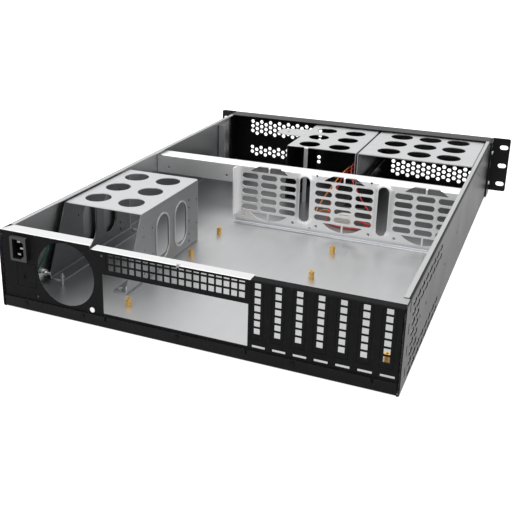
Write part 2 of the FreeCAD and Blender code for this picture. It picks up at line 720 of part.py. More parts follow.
def cable_oval(x):
    """The rolled collar round a cable opening, and the cuts that hollow it"""
    face = along(FAN_WALL_Y)
    centre = (beside(x), CABLE_OVAL_Z)

    def ring(grow, at):
        size = (CABLE_OVAL[0] + 2 * grow, CABLE_OVAL[1] + 2 * grow)
        return outline(faceted_slot(centre, size), 0, "y", at)

    crest = face + CABLE_OVAL_RISE
    skin = Part.makeLoft([ring(CABLE_OVAL_RIM, face), ring(CABLE_OVAL_CREST, crest)], True, True)
    back = [ring(CABLE_OVAL_RIM - SHEET, face - SHEET), ring(CABLE_OVAL_CREST - SHEET / 2, crest - SHEET)]
    hollow = Part.makeLoft(back, True, True)
    hole = prism(faceted_slot(centre, CABLE_OVAL), 0, "y", face - THROUGH, face + THROUGH)
    return skin, [hollow, hole]


def fan_wall():
    """Cross wall with three fan grilles, and the beam that runs on over the drive bays"""
    face = along(FAN_WALL_Y)
    front = face - FAN_FLANGE
    floor = 2 * SHEET
    x_end = -WIDTH / 2 + SHEET + SIDE_GAP
    x_start = beside(FAN_WALL_START)
    x_far = WIDTH / 2 - SHEET - SIDE_GAP
    wall = folded([(face + FAN_FOOT, floor), (face, floor), (face, FAN_WALL_TOP), (front, FAN_WALL_TOP)],
                  "x", x_end, x_start)
    beam = folded([(face, BEAM_BASE), (face, FAN_WALL_TOP), (front, FAN_WALL_TOP)], "x", x_start, x_far)
    turn = x_start - SHEET
    end = folded([(turn, face + FAN_END_FLANGE), (turn, face), (turn - 3 * FAN_FOOT, face)],
                 "z", FAN_END_BASE, FAN_WALL_TOP - 2 * SHEET)
    collars = []
    hollows = []
    for x in CABLE_OVALS:
        collar, cuts = cable_oval(x)
        collars.append(collar)
        hollows += cuts
    wall = join(wall, [beam, end] + collars)
    tools = hollows + [fan_grille(x) for x in FANS_X]
    start, stop = face - THROUGH, face + THROUGH
    for x, z, radius in FAN_HOLES:
        tools.append(pinhole((beside(x), z), radius, "y", start, stop))
    for x in FANS_X:
        for side in (-1, 1):
            centre = (beside(x) + side * FAN_SCREW_OFFSET, FAN_Z - FAN_SCREW_OFFSET)
            tools.append(pinhole(centre, FAN_SCREW_R, "y", start, stop))
    tools.append(punched((beside(CABLE_HOLE[0]), CABLE_HOLE[1]), CABLE_HOLE[2], "y", start, stop))
    tools.append(pinhole((across(BEAM_HOLE[0]), BEAM_HOLE[1]), BEAM_HOLE[2], "y", start, stop))
    return cut_all(wall, tools)


def bridge(x_range, y_range, top, foot):
    """An upside-down channel with inward feet, standing on the floor"""
    xa, xb = beside(x_range[0]), beside(x_range[1])
    line = [(xa - foot, SHEET), (xa, SHEET), (xa, top), (xb, top), (xb, SHEET), (xb + foot, SHEET)]
    return folded(line, "y", behind(y_range[1]), behind(y_range[0]))


def front_drive_cage():
    """Cage for the middle drives, with a side arm on top and a strap down its rear"""
    cage = bridge(FRONT_CAGE_X, FRONT_CAGE_Y, CAGE_TOP, CAGE_FOOT)
    root = beside(FRONT_CAGE_X[0]) - BEND - 2 * SHEET
    tip = beside(FRONT_CAGE_ARM_TIP)
    corners = [(root, behind(FRONT_CAGE_ARM_Y[0])), (root, behind(FRONT_CAGE_ARM_Y[1])),
               (tip, behind(FRONT_CAGE_ARM_TIP_Y[1])), (tip, behind(FRONT_CAGE_ARM_TIP_Y[0]))]
    rounds = [0.0, 0.0, FRONT_CAGE_ARM_ROUND, FRONT_CAGE_ARM_ROUND]
    arm = prism(corners, rounds, "z", CAGE_TOP - SHEET, CAGE_TOP)
    rear = behind(FRONT_CAGE_Y[0])
    strap_x = [beside(x) for x in FRONT_CAGE_STRAP]
    strap_line = [(rear - 3 * SHEET, CAGE_TOP), (rear + SHEET, CAGE_TOP), (rear + SHEET, SHEET)]
    strap = folded(strap_line[::-1], "x", min(strap_x), max(strap_x))
    cage = join(cage, [arm, strap])
    tools = []
    for x in FRONT_CAGE_HOLES_X:
        for y in FRONT_CAGE_HOLES_Y:
            tools.append(punched((beside(x), behind(y)), CAGE_HOLE_R, "z", CAGE_TOP - THROUGH, CAGE_TOP + PAST))
    x, y, radius = FRONT_CAGE_ARM_HOLE
    tools.append(pinhole((beside(x), behind(y)), radius, "z", CAGE_TOP - THROUGH, CAGE_TOP + PAST))
    return cut_all(cage, tools)


def bay_cage():
    """Cage for the wide front bay: a bridge with ledges that carry the drive"""
    xa, xb = beside(BAY_CAGE_X[0]), beside(BAY_CAGE_X[1])
    y_range = (behind(BAY_CAGE_Y[1]), behind(BAY_CAGE_Y[0]))
    shelf_z = (BAY_SHELF_Z - SHEET, BAY_SHELF_Z)
    cage = bridge(BAY_CAGE_X, BAY_CAGE_Y, CAGE_TOP, CAGE_FOOT)
    ledges = [block((xa - BAY_SHELF, xa - SHEET / 2), y_range, shelf_z),
              block((xb + SHEET / 2, xb + BAY_SHELF), y_range, shelf_z)]
    cage = join(cage, ledges)
    tools = []
    for x in BAY_CAGE_HOLES_X:
        for y in BAY_CAGE_HOLES_Y:
            tools.append(punched((beside(x), behind(y)), BAY_HOLE_R, "z", CAGE_TOP - THROUGH, CAGE_TOP + PAST))
    return cut_all(cage, tools)


def front_perforation(start, end):
    """Staggered six-sided holes in bands across the front"""
    tools = []
    bands = ((across(PERF_FIRST), PERF_UPPER_Z, PERF_UPPER_ROWS),
             (across(PERF_FIRST), PERF_LOWER_Z, PERF_LOWER_ROWS),
             (beside(PERF_BAY_FIRST), PERF_BAY_Z, PERF_BAY_ROWS))
    for first, base, rows in bands:
        for column in range(PERF_COLUMNS):
            drop = PERF_ROW_PITCH / 2 if column % 2 else 0.0
            for row in range(rows):
                centre = (first - column * PERF_PITCH, base - drop + row * PERF_ROW_PITCH)
                tools.append(polygon(centre, PERF_R, 6, 0, "y", start, end))
    return tools


def front_panel():
    """Black front pan with its perforated bands, the wide bay's opening and the controls' holes"""
    reach = WIDTH / 2 - SHEET - SIDE_GAP
    section = [(FRONT + PAN_FLANGE, HEIGHT), (FRONT, HEIGHT), (FRONT, SHEET), (FRONT + PAN_FOOT, SHEET)]
    pan = folded(section, "x", -reach, reach)
    returns = [block((side * reach, side * (reach - SHEET)), (FRONT + SHEET / 2, FRONT + PAN_RETURN),
                     (3 * SHEET, HEIGHT - 2 * SHEET)) for side in (-1, 1)]
    pan = join(pan, returns)
    start, end = FRONT - PAST, FRONT + SHEET + PAST
    tools = front_perforation(start, end)
    tools.append(square(bay_centre(), bay_size(0), "y", start, end))
    for z in (POWER_BUTTON_Z, RESET_BUTTON_Z):
        tools.append(drill((beside(CONTROLS_X), z), BUTTON_R + BUTTON_FIT, "y", start, end))
    for z in LIGHTS_Z:
        tools.append(drill((beside(CONTROLS_X), z), LIGHT_R + SEAT, "y", start, end))
    return cut_all(pan, tools)


def bay_centre():
    """The middle of the wide bay's opening"""
    return beside(sum(BAY_X) / 2), sum(BAY_Z) / 2


def bay_size(inset):
    """The wide bay's opening, made smaller by an inset on every side"""
    return BAY_X[0] - BAY_X[1] - 2 * inset, BAY_Z[1] - BAY_Z[0] - 2 * inset


def bay_cover():
    """Moulded cover that clips into the wide bay's opening"""
    back = FRONT + BAY_COVER_DEEP
    shell = square(bay_centre(), bay_size(BAY_COVER_FIT), "y", FRONT, back)
    inner = bay_size(BAY_COVER_FIT + BAY_COVER_WALL)
    return shell.cut(square(bay_centre(), inner, "y", FRONT + BAY_COVER_WALL, back + PAST))


def push_button(z):
    """A round push button, its cap proud of the front and a collar behind the sheet"""
    centre = (beside(CONTROLS_X), z)
    rear = FRONT + BUTTON_DEEP - SWITCH_HEIGHT - BUTTON_TRAVEL - SEAT
    stem = drill(centre, BUTTON_R, "y", FRONT - BUTTON_PROUD, rear)
    back = FRONT + SHEET + BUTTON_FIT / 2
    collar = punched(centre, BUTTON_R + BUTTON_COLLAR, "y", back, back + SHEET)
    return join(stem, [collar])


def control_board():
    """The small board behind the front that carries the switches and indicator lights"""
    x = beside(CONTROLS_X)
    face = FRONT + BUTTON_DEEP
    parts = []
    for z in BOARD_POSTS_Z:
        parts.append(square((x, z), (BOARD_POST, BOARD_POST), "y", FRONT + SHEET, face))
    for z in (POWER_BUTTON_Z, RESET_BUTTON_Z):
        parts.append(square((x, z), (SWITCH_WIDTH, SWITCH_WIDTH), "y", face - SWITCH_HEIGHT, face))
    return join(block((x - BOARD_EDGE, x + BOARD_EDGE), (face, face + BOARD_THICK), BOARD_Z), parts)


def lights():
    """Two round indicator lights, on the control board"""
    start, end = FRONT - LIGHT_R / 2, FRONT + BUTTON_DEEP
    return Part.makeCompound([drill((beside(CONTROLS_X), z), LIGHT_R, "y", start, end) for z in LIGHTS_Z])


def ear(side):
    """Rack ear: a slotted plate in the front's plane and a leg screwed to the wall"""
    wall = side * (WIDTH / 2 + SEAT)
    tip = side * EAR_SPAN / 2
    corners = [(wall, EAR_BASE), (tip, EAR_BASE), (tip, EAR_TOP), (wall, EAR_TOP)]
    radii = [0.0, EAR_CHAMFER, EAR_CHAMFER, 0.0]
    plate = prism(corners, radii, "y", FRONT, FRONT + EAR_SHEET)
    leg_x = (wall, wall + side * EAR_SHEET)
    leg = block(leg_x, (FRONT, FRONT + EAR_LEG), (EAR_LEG_BASE, EAR_TOP - SHEET))
    shape = join(plate, [leg])
    bend = [edge for edge in shape.Edges if abs(edge.CenterOfMass.x - wall) < SEAT / 2
            and abs(edge.CenterOfMass.y - FRONT) < SEAT / 2 and edge.Length > HEIGHT / 2]
    shape = shape.makeChamfer(EAR_BEND, bend)
    tools = []
    start, end = FRONT - PAST, FRONT + EAR_SHEET + PAST
    for z in EAR_SLOTS_Z:
        tools.append(obround((tip - side * EAR_SLOT_EDGE, z), EAR_SLOT, "y", start, end))
    for z in EAR_SCREW_Z:
        centre = (behind(EAR_SCREW_Y), z)
        tools.append(pinhole(centre, SCREW_R + SEAT, "x", wall - THROUGH, wall + THROUGH))
    return cut_all(shape, tools)


def wall_angle():
    """Angle on the inside of the supply's wall near the front"""
    wall = WIDTH / 2 - SHEET - SEAT
    y_front, y_rear = behind(ANGLE_Y[1]), behind(ANGLE_Y[0])
    line = [(wall, y_front), (wall, y_rear), (wall - ANGLE_LEG, y_rear)]
    shape = folded(line, "z", ANGLE_Z[0], ANGLE_Z[1])
    y, z, radius = ANGLE_HOLE
    return shape.cut(pinhole((behind(y), z), radius, "x", wall - THROUGH / 2, wall + PAST))


def standoffs():
    """Brass hexagon pillars that carry the board"""
    solids = []
    corner = STANDOFF_FLATS / math.sqrt(3)
    for column in STANDOFF_COLUMNS:
        for row in STANDOFF_ROWS:
            centre = (beside(STANDOFF_FIRST[0] + column), along(STANDOFF_FIRST[1] + row))
            top = SHEET + STANDOFF_HEIGHT
            body = polygon(centre, corner, 6, 0, "z", SHEET, top)
            solids.append(body.cut(drill(centre, STANDOFF_BORE_R, "z", top - STANDOFF_BORE, top + PAST)))
    return Part.makeCompound(solids)


def inlet_mouth_points():
    """The mouth's outline: two of its corners cut off at a slant"""
    x, z = across(INLET_CENTRE[0]), INLET_CENTRE[1]
    a, b = INLET_MOUTH[0] / 2, INLET_MOUTH[1] / 2
    c = INLET_CORNER
    return [(x + a, z - b), (x + a, z + b), (x - a + c, z + b), (x - a, z + b - c), (x - a, z - b + c),
            (x - a + c, z - b)]


def inlet_socket():
    """Moulded power inlet: a bezel outside the panel and a box behind it"""
    outer = REAR - SHEET - SEAT
    centre = (across(INLET_CENTRE[0]), INLET_CENTRE[1])
    bezel = prism(rectangle(centre, INLET_BEZEL), INLET_EDGE, "y", outer, REAR + INLET_PROUD)
    box_size = [m + 2 * INLET_WALL for m in INLET_MOUTH]
    body = square(centre, box_size, "y", outer - INLET_DEEP, outer)
    shell = join(bezel, [body])
    floor = outer - INLET_DEEP + 2 * INLET_WALL
    return shell.cut(prism(inlet_mouth_points(), 0, "y", floor, REAR + INLET_PROUD + PAST))


def inlet_pins():
    """Three flat contact pins standing on the inlet's floor"""
    floor = REAR - SHEET - SEAT - INLET_DEEP + 2 * INLET_WALL
    x, z = across(INLET_CENTRE[0]), INLET_CENTRE[1]
    pins = []
    for row, shift in enumerate(PIN_SHIFT):
        centre = (x + shift, z + (1 - row) * PIN_SPREAD)
        pins.append(square(centre, PIN_SECTION, "y", floor, REAR))
    return Part.makeCompound(pins)


def cage_screws():
    """Four screws through the rear cage's feet"""
    up = place(0, 0, "z", 1)
    seat = 2 * SHEET
    points = [place(across(x), along(y), "z", seat) for x, y in CAGE_SCREWS]
    return Part.makeCompound([screw(point, up, seat - SEAT) for point in points])


def ear_screws():
    """Two screws through each ear's leg into the wall"""
    solids = []
    for side in (-1, 1):
        at = side * (WIDTH / 2 + SEAT + EAR_SHEET)
        for z in EAR_SCREW_Z:
            seat = place(behind(EAR_SCREW_Y), z, "x", at)
            solids.append(screw(seat, place(0, 0, "x", side), SCREW_LENGTH))
    return Part.makeCompound(solids)


def lip_rivets():
    """Flat rivets that hold the rear panel to the lip"""
    solids = []
    for x in LIP_RIVETS:
        centre = (across(x), LIP_RIVET_Z)
        turn = math.pi / SCREW_HEAD_SIDES
        head = polygon(centre, RIVET_HEAD_R, SCREW_HEAD_SIDES, turn, "y", REAR, REAR + RIVET_HEAD)
        shank = pinhole(centre, SCREW_R, "y", REAR - 2 * SHEET - 2 * SEAT, REAR)
        solids.append(join(head, [shank]))
    return Part.makeCompound(solids)


def panel_screw():
    """The bright screw beside the power supply's hole"""
    outer = REAR - SHEET - SEAT
    seat = place(across(PANEL_SCREW[0]), PANEL_SCREW[1], "y", outer)
    return screw(seat, place(0, 0, "y", 1), SCREW_LENGTH)


def floor_stud():
    """Plain pin pressed in the floor, which locates the power supply"""
    centre = (across(FLOOR_STUD[0]), along(FLOOR_STUD[1]))
    return drill(centre, FLOOR_STUD_R, "z", SHEET, SHEET + FLOOR_STUD_HEIGHT)


def earth_stud():
    """Threaded stud welded to the supply's wall"""
    wall = WIDTH / 2 - SHEET
    return drill((along(EARTH_STUD[0]), EARTH_STUD[1]), EARTH_STUD_R, "x", wall - EARTH_STUD_LENGTH, wall)


def ring_terminal():
    """Ring on the earth stud with the squared barrel that grips the lead"""
    wall = WIDTH / 2 - SHEET
    centre = (along(EARTH_STUD[0]), EARTH_STUD[1])
    ring = drill(centre, RING_R, "x", wall - RING_THICK, wall)
    near = RING_R - RING_TONGUE
    size = (RING_BARREL + 2 * RING_TONGUE, 2 * RING_BARREL_R)
    tongue = square((centre[0] + near + size[0] / 2, centre[1]), size, "x", wall - RING_THICK, wall)
    middle = centre[0] + RING_R + RING_TONGUE + RING_BARREL / 2
    barrel = square((middle, centre[1]), (RING_BARREL, size[1]), "x", wall - 2 * RING_BARREL_R, wall)
    bore = drill(centre, EARTH_STUD_R + SEAT, "x", wall - RING_THICK - PAST, wall + PAST)
    terminal = join(ring, [tongue, barrel]).cut(bore)
    return terminal.rotate(place(centre[0], centre[1], "x", wall), place(0, 0, "x", 1), -RING_TILT)


def earth_nut():
    """Hexagon nut that clamps the ring terminal"""
    face = WIDTH / 2 - SHEET - RING_THICK
    centre = (along(EARTH_STUD[0]), EARTH_STUD[1])
    nut = polygon(centre, NUT_FLATS / math.sqrt(3), 6, math.radians(-RING_TILT), "x", face - NUT_HEIGHT, face)
    return nut.cut(drill(centre, EARTH_STUD_R + SEAT, "x", face - NUT_HEIGHT - PAST, face + PAST))


def lead(name, points, radius):
    """A lead along straight runs joined by tangent arcs, its round section drawn with flat sides"""
    edges = []
    bends = []
    start = points[0]
    for i in range(1, len(points) - 1):
        corner = points[i]
        before = points[i - 1] - corner
        after = points[i + 1] - corner
        run = min(before.Length, after.Length)
        half = before.getAngle(after) / 2
        reach = LEAD_SHARE * run
        bend = reach * math.tan(half)
        before = before.normalize()
        after = after.normalize()
        a = corner + before * reach
        b = corner + after * reach
        middle = corner + (before + after).normalize() * (bend / math.sin(half) - bend)
        edges.append(Part.LineSegment(start, a).toShape())
        edges.append(Part.Arc(a, middle, b).toShape())
        bends.append(round(bend, 1))
        start = b
    edges.append(Part.LineSegment(start, points[-1]).toShape())
    path = Part.Wire(edges)
    away = (points[1] - points[0]).normalize()
    side = away.cross(place(0, 0, "z", 1)).normalize() * radius
    up = side.cross(away).normalize() * radius
    angles = [2 * math.pi * i / LEAD_SIDES for i in range(LEAD_SIDES + 1)]
    ring = [points[0] + side * math.cos(a) + up * math.sin(a) for a in angles[:-1]]
    section = Part.makePolygon(ring + ring[:1])
    tube = path.makePipeShell([section], True, False)
    expected = Part.Face(section).Area * path.Length
    print(name, "bend radii", bends, "volume", round(tube.Volume, 1), "expected", round(expected, 1))
    return tube


def earth_lead():
    """Lead from the back of the inlet down to the ring terminal"""
    start = place(across(EARTH_START[0]), EARTH_START[1], "y", REAR - SHEET - SEAT - INLET_DEEP)
    straight = start - place(0, 0, "y", EARTH_STRAIGHT)
    angle = math.radians(RING_TILT)
    away = place(math.cos(angle), -math.sin(angle), "x", 0)
    stud = place(along(EARTH_STUD[0]), EARTH_STUD[1], "x", WIDTH / 2 - SHEET - RING_BARREL_R)
    end = stud + away * (RING_R + RING_TONGUE + RING_BARREL)
    middle = [place(across(x), along(y), "z", z) for x, y, z in EARTH_ROUTE]
    return lead("earth_lead", [start, straight] + middle + [end + away * EARTH_TAIL, end], LEAD_R)


def board_point(start):
    """A point on the back of the control board"""
    return place(beside(start[0]), start[1], "y", FRONT + BUTTON_DEEP + BOARD_THICK)


def control_route(start, front, rear, end):
    """The points of a control lead: from the board through the front cage and on to its end"""
    points = [board_point(start)]
    points += [place(beside(x), behind(y), "z", z) for x, y, z in front]
    points += [place(beside(x), along(y), "z", z) for x, y, z in rear]
    return points + [end]


def power_switch_lead():
    """Lead from the power switch to the plug's right end"""
    end = place(beside(PLUG_X[1]), along(POWER_LEAD_END[0]), "z", POWER_LEAD_END[1])
    points = control_route(POWER_LEAD_START, POWER_LEAD_FRONT, POWER_LEAD_REAR, end)
    return lead("power_switch_lead", points, CONTROL_LEAD_R)


def reset_switch_lead():
    """Lead from the reset switch that arches into the plug's left end"""
    end = place(beside(PLUG_X[0]), along(RESET_LEAD_END[0]), "z", RESET_LEAD_END[1])
    points = control_route(RESET_LEAD_START, RESET_LEAD_FRONT, RESET_LEAD_REAR, end)
    return lead("reset_switch_lead", points, CONTROL_LEAD_R)


def indicator_lead():
    """Lead from the lights that lies on the floor and curls into the plug's front"""
    end = place(beside(LIGHT_LEAD_END[0]), along(PLUG_Y[1]), "z", LIGHT_LEAD_END[1])
    points = control_route(LIGHT_LEAD_START, LIGHT_LEAD_FRONT, LIGHT_LEAD_REAR, end)
    return lead("indicator_lead", points, CONTROL_LEAD_R)


def control_plug():
    """White plug of the control leads, one top corner cut off"""
    left, right = beside(PLUG_X[0]), beside(PLUG_X[1])
    top = SHEET + PLUG_HEIGHT
    corners = [(right, SHEET), (left, SHEET), (left, top - PLUG_CORNER[1]), (left - PLUG_CORNER[0], top),
               (right, top)]
    return prism(corners, 0, "y", along(PLUG_Y[1]), along(PLUG_Y[0]))


def main():
    os.makedirs("parts", exist_ok=True)
    nodes = {
        "chassis_tray": chassis_tray(),
        "rear_panel": rear_panel(),
        "rear_drive_cage": rear_drive_cage(),
        "fan_wall": fan_wall(),
        "front_drive_cage": front_drive_cage(),
        "bay_cage": bay_cage(),
        "front_panel": front_panel(),
        "bay_cover": bay_cover(),
        "power_button": push_button(POWER_BUTTON_Z),
        "reset_button": push_button(RESET_BUTTON_Z),
        "control_board": control_board(),
        "indicator_lights": lights(),
        "ear_left": ear(1),
        "ear_right": ear(-1),
        "wall_angle": wall_angle(),
        "standoffs": standoffs(),
        "inlet_socket": inlet_socket(),
        "inlet_pins": inlet_pins(),
        "cage_screws": cage_screws(),
        "ear_screws": ear_screws(),
        "lip_rivets": lip_rivets(),
        "panel_screw": panel_screw(),
        "floor_stud": floor_stud(),
        "earth_stud": earth_stud(),
        "earth_nut": earth_nut(),
        "ring_terminal": ring_terminal(),
        "earth_lead": earth_lead(),
        "power_switch_lead": power_switch_lead(),
        "reset_switch_lead": reset_switch_lead(),
        "indicator_lead": indicator_lead(),
        "control_plug": control_plug(),
    }
    for name, shape in nodes.items():
        shape.exportStep("parts/" + name + ".step")


main()
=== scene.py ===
import math
import bmesh
import bpy
from mathutils import Matrix, Vector


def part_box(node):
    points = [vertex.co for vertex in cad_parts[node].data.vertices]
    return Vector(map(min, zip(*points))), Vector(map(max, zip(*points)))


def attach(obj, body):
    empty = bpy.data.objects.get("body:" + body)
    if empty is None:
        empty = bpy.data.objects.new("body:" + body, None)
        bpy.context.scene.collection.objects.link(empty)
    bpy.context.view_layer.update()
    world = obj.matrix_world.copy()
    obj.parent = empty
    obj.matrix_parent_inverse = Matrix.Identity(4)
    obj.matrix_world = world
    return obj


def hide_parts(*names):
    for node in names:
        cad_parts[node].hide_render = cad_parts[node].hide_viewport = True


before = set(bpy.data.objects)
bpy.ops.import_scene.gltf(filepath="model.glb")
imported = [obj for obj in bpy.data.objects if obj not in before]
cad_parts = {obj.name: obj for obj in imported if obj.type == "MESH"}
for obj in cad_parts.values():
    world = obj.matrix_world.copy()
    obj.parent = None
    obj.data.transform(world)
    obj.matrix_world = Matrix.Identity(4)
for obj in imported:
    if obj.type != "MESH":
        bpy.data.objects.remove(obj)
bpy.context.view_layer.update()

bl_info = {
    "name": "Open rack server case",
    "version": (1, 0, 0),
    "blender": (4, 5, 0),
    "location": "3D View > Sidebar > Case",
    "description": "Finishes, control leads and studio for an open two-unit rack server case",
    "category": "Object",
}

MM = 0.001
TRAY_LOW, TRAY_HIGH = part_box("chassis_tray")
PANEL_LOW, PANEL_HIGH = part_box("rear_panel")

FANS_X = (42.0, -62.5, -168.0)
FAN_Z = 47.3
FAN_FACE_Y = -28.2
SLOT_PITCH = 27.3
ROW_PITCH = 11.25
REAR_HOLES_X = (181.2, 136.0)
REAR_HOLES_Y = (179.8, 133.8, 87.3)
MIDDLE_HOLES_X = (31.6, -14.3)
MIDDLE_HOLES_Y = (-172.2, -218.2, -264.2)
BAY_HOLES_X = (-85.0, -128.5, -170.0)
BAY_HOLES_Y = (-183.2, -230.2, -276.2)
RIVET_COLUMNS = ((184.8, (60.0, 27.4)), (88.3, (64.5, 54.5, 37.0, 18.8, 9.8)), (67.3, (60.0, 27.4)))

PUNCH_REACH = 4.0
PUNCH_ABOVE = 2.0
WELD_DISTANCE = 0.001
BEND_ANGLE = 40
HOLE_SIDES = 40
RIVET_SIDES = 8
SLOT_END_SIDES = 10
CAP_STEPS = 8

PAINT_DEPTH = 1.1
PAINT_FOOT = 0.2
PAINT_AHEAD = 0.1
RIM_INSET = 2.4
RIM_DROP = 0.8
PAINTED_REFLECTION_X = 71.0
PAINTED_REFLECTION_DROP = 8.0
FLANGE_SHADE_DROP = 5.0
FLANGE_SHADE_FADE = 1.0
FAR = 0.5
SUPPLY_BAY_X = 118.0
SUPPLY_BAY_SHADE_FADE = 60.0
FRONT_BAY_Y = -30.0
FRONT_BAY_SHADE_FADE = 50.0
FOOT_SHADE_HEIGHT = 8.0
FOOT_SHADE_FADE = 5.0
CAGE_SHADE_FADE = 0.3
SHEET_BUMP = 0.04
SHEET_RELIEF = 0.02

FLOOR_REACH = 6.0
FLOOR_DROP = 0.1
FLOOR_GLOW = 0.70
SOFTBOX_SIZE = 3.6
SOFTBOX_AT = (0.3, 0.2, 2.2)
SIDE_LAMP_SIZE = 1.2
SIDE_LAMP_AT = (-1.6, 1.8, 1.5)
SIDE_LAMP_AIM = (0.0, 0.0, 0.04)
SENSOR_WIDTH = 36.0
CAMERA_AT = (-0.3153, 0.9480, 0.3875)
CAMERA_FORWARD = (0.3878, -0.8617, -0.3273)
CAMERA_RIGHT = (-0.9107, -0.4129, 0.0081)

POWER_LEAD_POINTS = (
    (-35, -315.6, 58), (-36, -278.2, 57), (-38, -232.2, 61), (-39, -186.2, 66), (-39, -150.2, 66),
    (-47, -126.2, 52), (-67, -108.2, 31), (-86, -92.2, 17), (-94, -80.2, 10), (-87, -72.7, 8),
    (-76, -73.7, 11), (-65, -74.7, 13),
)
RESET_LEAD_POINTS = (
    (-31, -315.6, 50), (-32, -278.2, 49), (-34, -232.2, 52), (-35, -188.2, 58), (-32, -150.2, 60),
    (-23, -126.2, 46), (-13, -106.2, 26), (-8, -89.2, 12), (-14, -75.7, 14), (-25, -73.7, 22),
    (-34, -74.2, 19), (-40, -74.7, 13.5),
)
LIGHT_LEAD_POINTS = (
    (-27.5, -315.6, 42), (-28, -278.2, 41), (-30, -232.2, 44), (-31, -188.2, 50), (-29, -150.2, 52),
    (-26, -126.2, 36), (-24, -106.2, 17), (-23, -88.2, 4.5), (-28, -74.2, 2.3), (-40, -65.7, 2.2),
    (-56, -63.2, 2.2), (-72, -64.7, 2.3), (-83.5, -71.7, 2.6), (-85, -83.2, 3.6), (-76, -91.2, 5.5),
    (-64, -92.7, 7.5), (-54, -87.7, 8.8), (-51, -79.2, 9),
)
EARTH_LEAD_POINTS = (
    (183, 300.5, 68.5), (183, 287.5, 68.5), (184.5, 277.8, 56), (192, 279.8, 41), (200, 283.8, 26),
    (206.5, 281.8, 12), (211.9, 272.4, 4.85), (211.9, 265.1, 6.8),
)


def colour(label, about, value):
    """A colour that a user may change"""
    return bpy.props.FloatVectorProperty(name=label, description=about, subtype="COLOR", size=4,
                                         default=(*value, 1.0), min=0.0, max=1.0)


def amount(label, about, value, highest=1.0):
    """A plain number that a user may change"""
    return bpy.props.FloatProperty(name=label, description=about, default=value, min=0.0, max=highest)


def length(label, about, value):
    """A length in metres that a user may change"""
    return bpy.props.FloatProperty(name=label, description=about, default=value, min=0.0003, max=5.0,
                                   unit="LENGTH", precision=4)


class CaseMetals(bpy.types.PropertyGroup):
    """Colours of the bare metals, and of the painted shade in the tray, the rear sheet, the fan wall and the
    cages
    """
    tray_light: colour("Tray light", "Bright zinc of the tray", (0.54, 0.543, 0.548))
    tray_dark: colour("Tray dark", "Duller streaks in the tray's zinc", (0.49, 0.494, 0.50))
    # Painted shade: this dark grey darkens the tray's zinc in the supply's bay and the front bay, and the rear
    # sheet below its flange; it is also the inlet pins' grey
    tray_shade_and_pin_grey: colour("Tray dull", "Oily zinc in the supply's bay", (0.26, 0.265, 0.27))
    wall_light: colour("Fan wall light", "Bright zinc of the fan wall", (0.93, 0.93, 0.93))
    wall_dark: colour("Fan wall dark", "Duller zinc of the fan wall", (0.88, 0.88, 0.885))
    flange_light: colour("Rear flange light", "Satin zinc of the rear sheet's flange", (0.77, 0.77, 0.775))
    flange_dark: colour("Rear flange dark", "Duller zinc of the rear sheet's flange", (0.70, 0.70, 0.705))
    cage_light: colour("Rear cage light", "Bluish satin zinc of the rear drive cage", (0.60, 0.61, 0.625))
    # Also the painted shade along the fan wall's bottom edge
    cage_dark_and_foot_shade: colour("Rear cage dark", "Duller zinc of the rear drive cage", (0.54, 0.55, 0.565))
    # Painted shade on the rear cage's inner faces; also the tarnish of the inlet's pins
    cage_shade_and_pin_tarnish: colour("Cage inside", "Dull zinc on the rear cage's inner faces", (0.20, 0.205, 0.21))
    # Painted shade on the front cages' inner faces and on the wide bay cage's sides
    front_cage_shade: colour("Front cages inside", "Dull zinc on the front cages' inner faces", (0.07, 0.07, 0.072))
    front_light: colour("Front cages light", "Bright zinc of the front cages", (0.62, 0.625, 0.63))
    front_dark: colour("Front cages dark", "Duller zinc of the front cages", (0.55, 0.555, 0.565))
    screw: colour("Screws", "Zinc on the screws and studs", (0.72, 0.72, 0.73))
    brass: colour("Brass", "Brass of the board's standoffs", (0.93, 0.60, 0.20))
    brass_dull: colour("Dull brass", "Tarnish on the standoffs", (0.50, 0.27, 0.08))
    tin: colour("Tin", "Tin of the ring terminal and the inlet's pins", (0.80, 0.80, 0.79))


class CasePaints(bpy.types.PropertyGroup):
    """Colours of the paint, plastics and jackets"""
    paint: colour("Paint", "Black satin paint on the outside", (0.005, 0.005, 0.0055))
    paint_worn: colour("Worn paint", "Paint where hands and racks have rubbed it", (0.020, 0.020, 0.021))
    plastic: colour("Plastic", "Black moulded plastic", (0.007, 0.007, 0.008))
    plastic_worn: colour("Scuffed plastic", "Plastic where it is scuffed", (0.030, 0.030, 0.031))
    lens: colour("Lens", "Clear lenses of the lights", (0.75, 0.80, 0.78))
    laminate: colour("Laminate", "Green solder mask of the control board", (0.015, 0.120, 0.045))
    laminate_dark: colour("Laminate tracks", "Mask over copper on the control board", (0.008, 0.070, 0.028))
    plug: colour("Plug", "White nylon of the leads' plug", (0.82, 0.80, 0.74))
    red: colour("Red jacket", "Jacket of the power switch's and the lights' leads", (0.62, 0.020, 0.018))
    orange: colour("Orange jacket", "Jacket of the reset switch's lead", (0.80, 0.26, 0.030))
    green: colour("Green jacket", "Jacket of the earth lead", (0.010, 0.110, 0.070))
    yellow: colour("Yellow stripe", "Stripe on the earth lead", (0.80, 0.62, 0.050))


class CaseLeads(bpy.types.PropertyGroup):
    """Sizes of the leads"""
    control_diameter: length("Control lead", "Diameter of a control lead", 1.6 * MM)
    earth_diameter: length("Earth lead", "Diameter of the earth lead", 2.6 * MM)
    power_length: length("Power lead length", "Length of the power switch's lead", 0.300)
    reset_length: length("Reset lead length", "Length of the reset switch's lead", 0.290)
    light_length: length("Light lead length", "Length of the lights' lead", 0.370)
    earth_length: length("Earth lead length", "Length of the earth lead", 0.095)


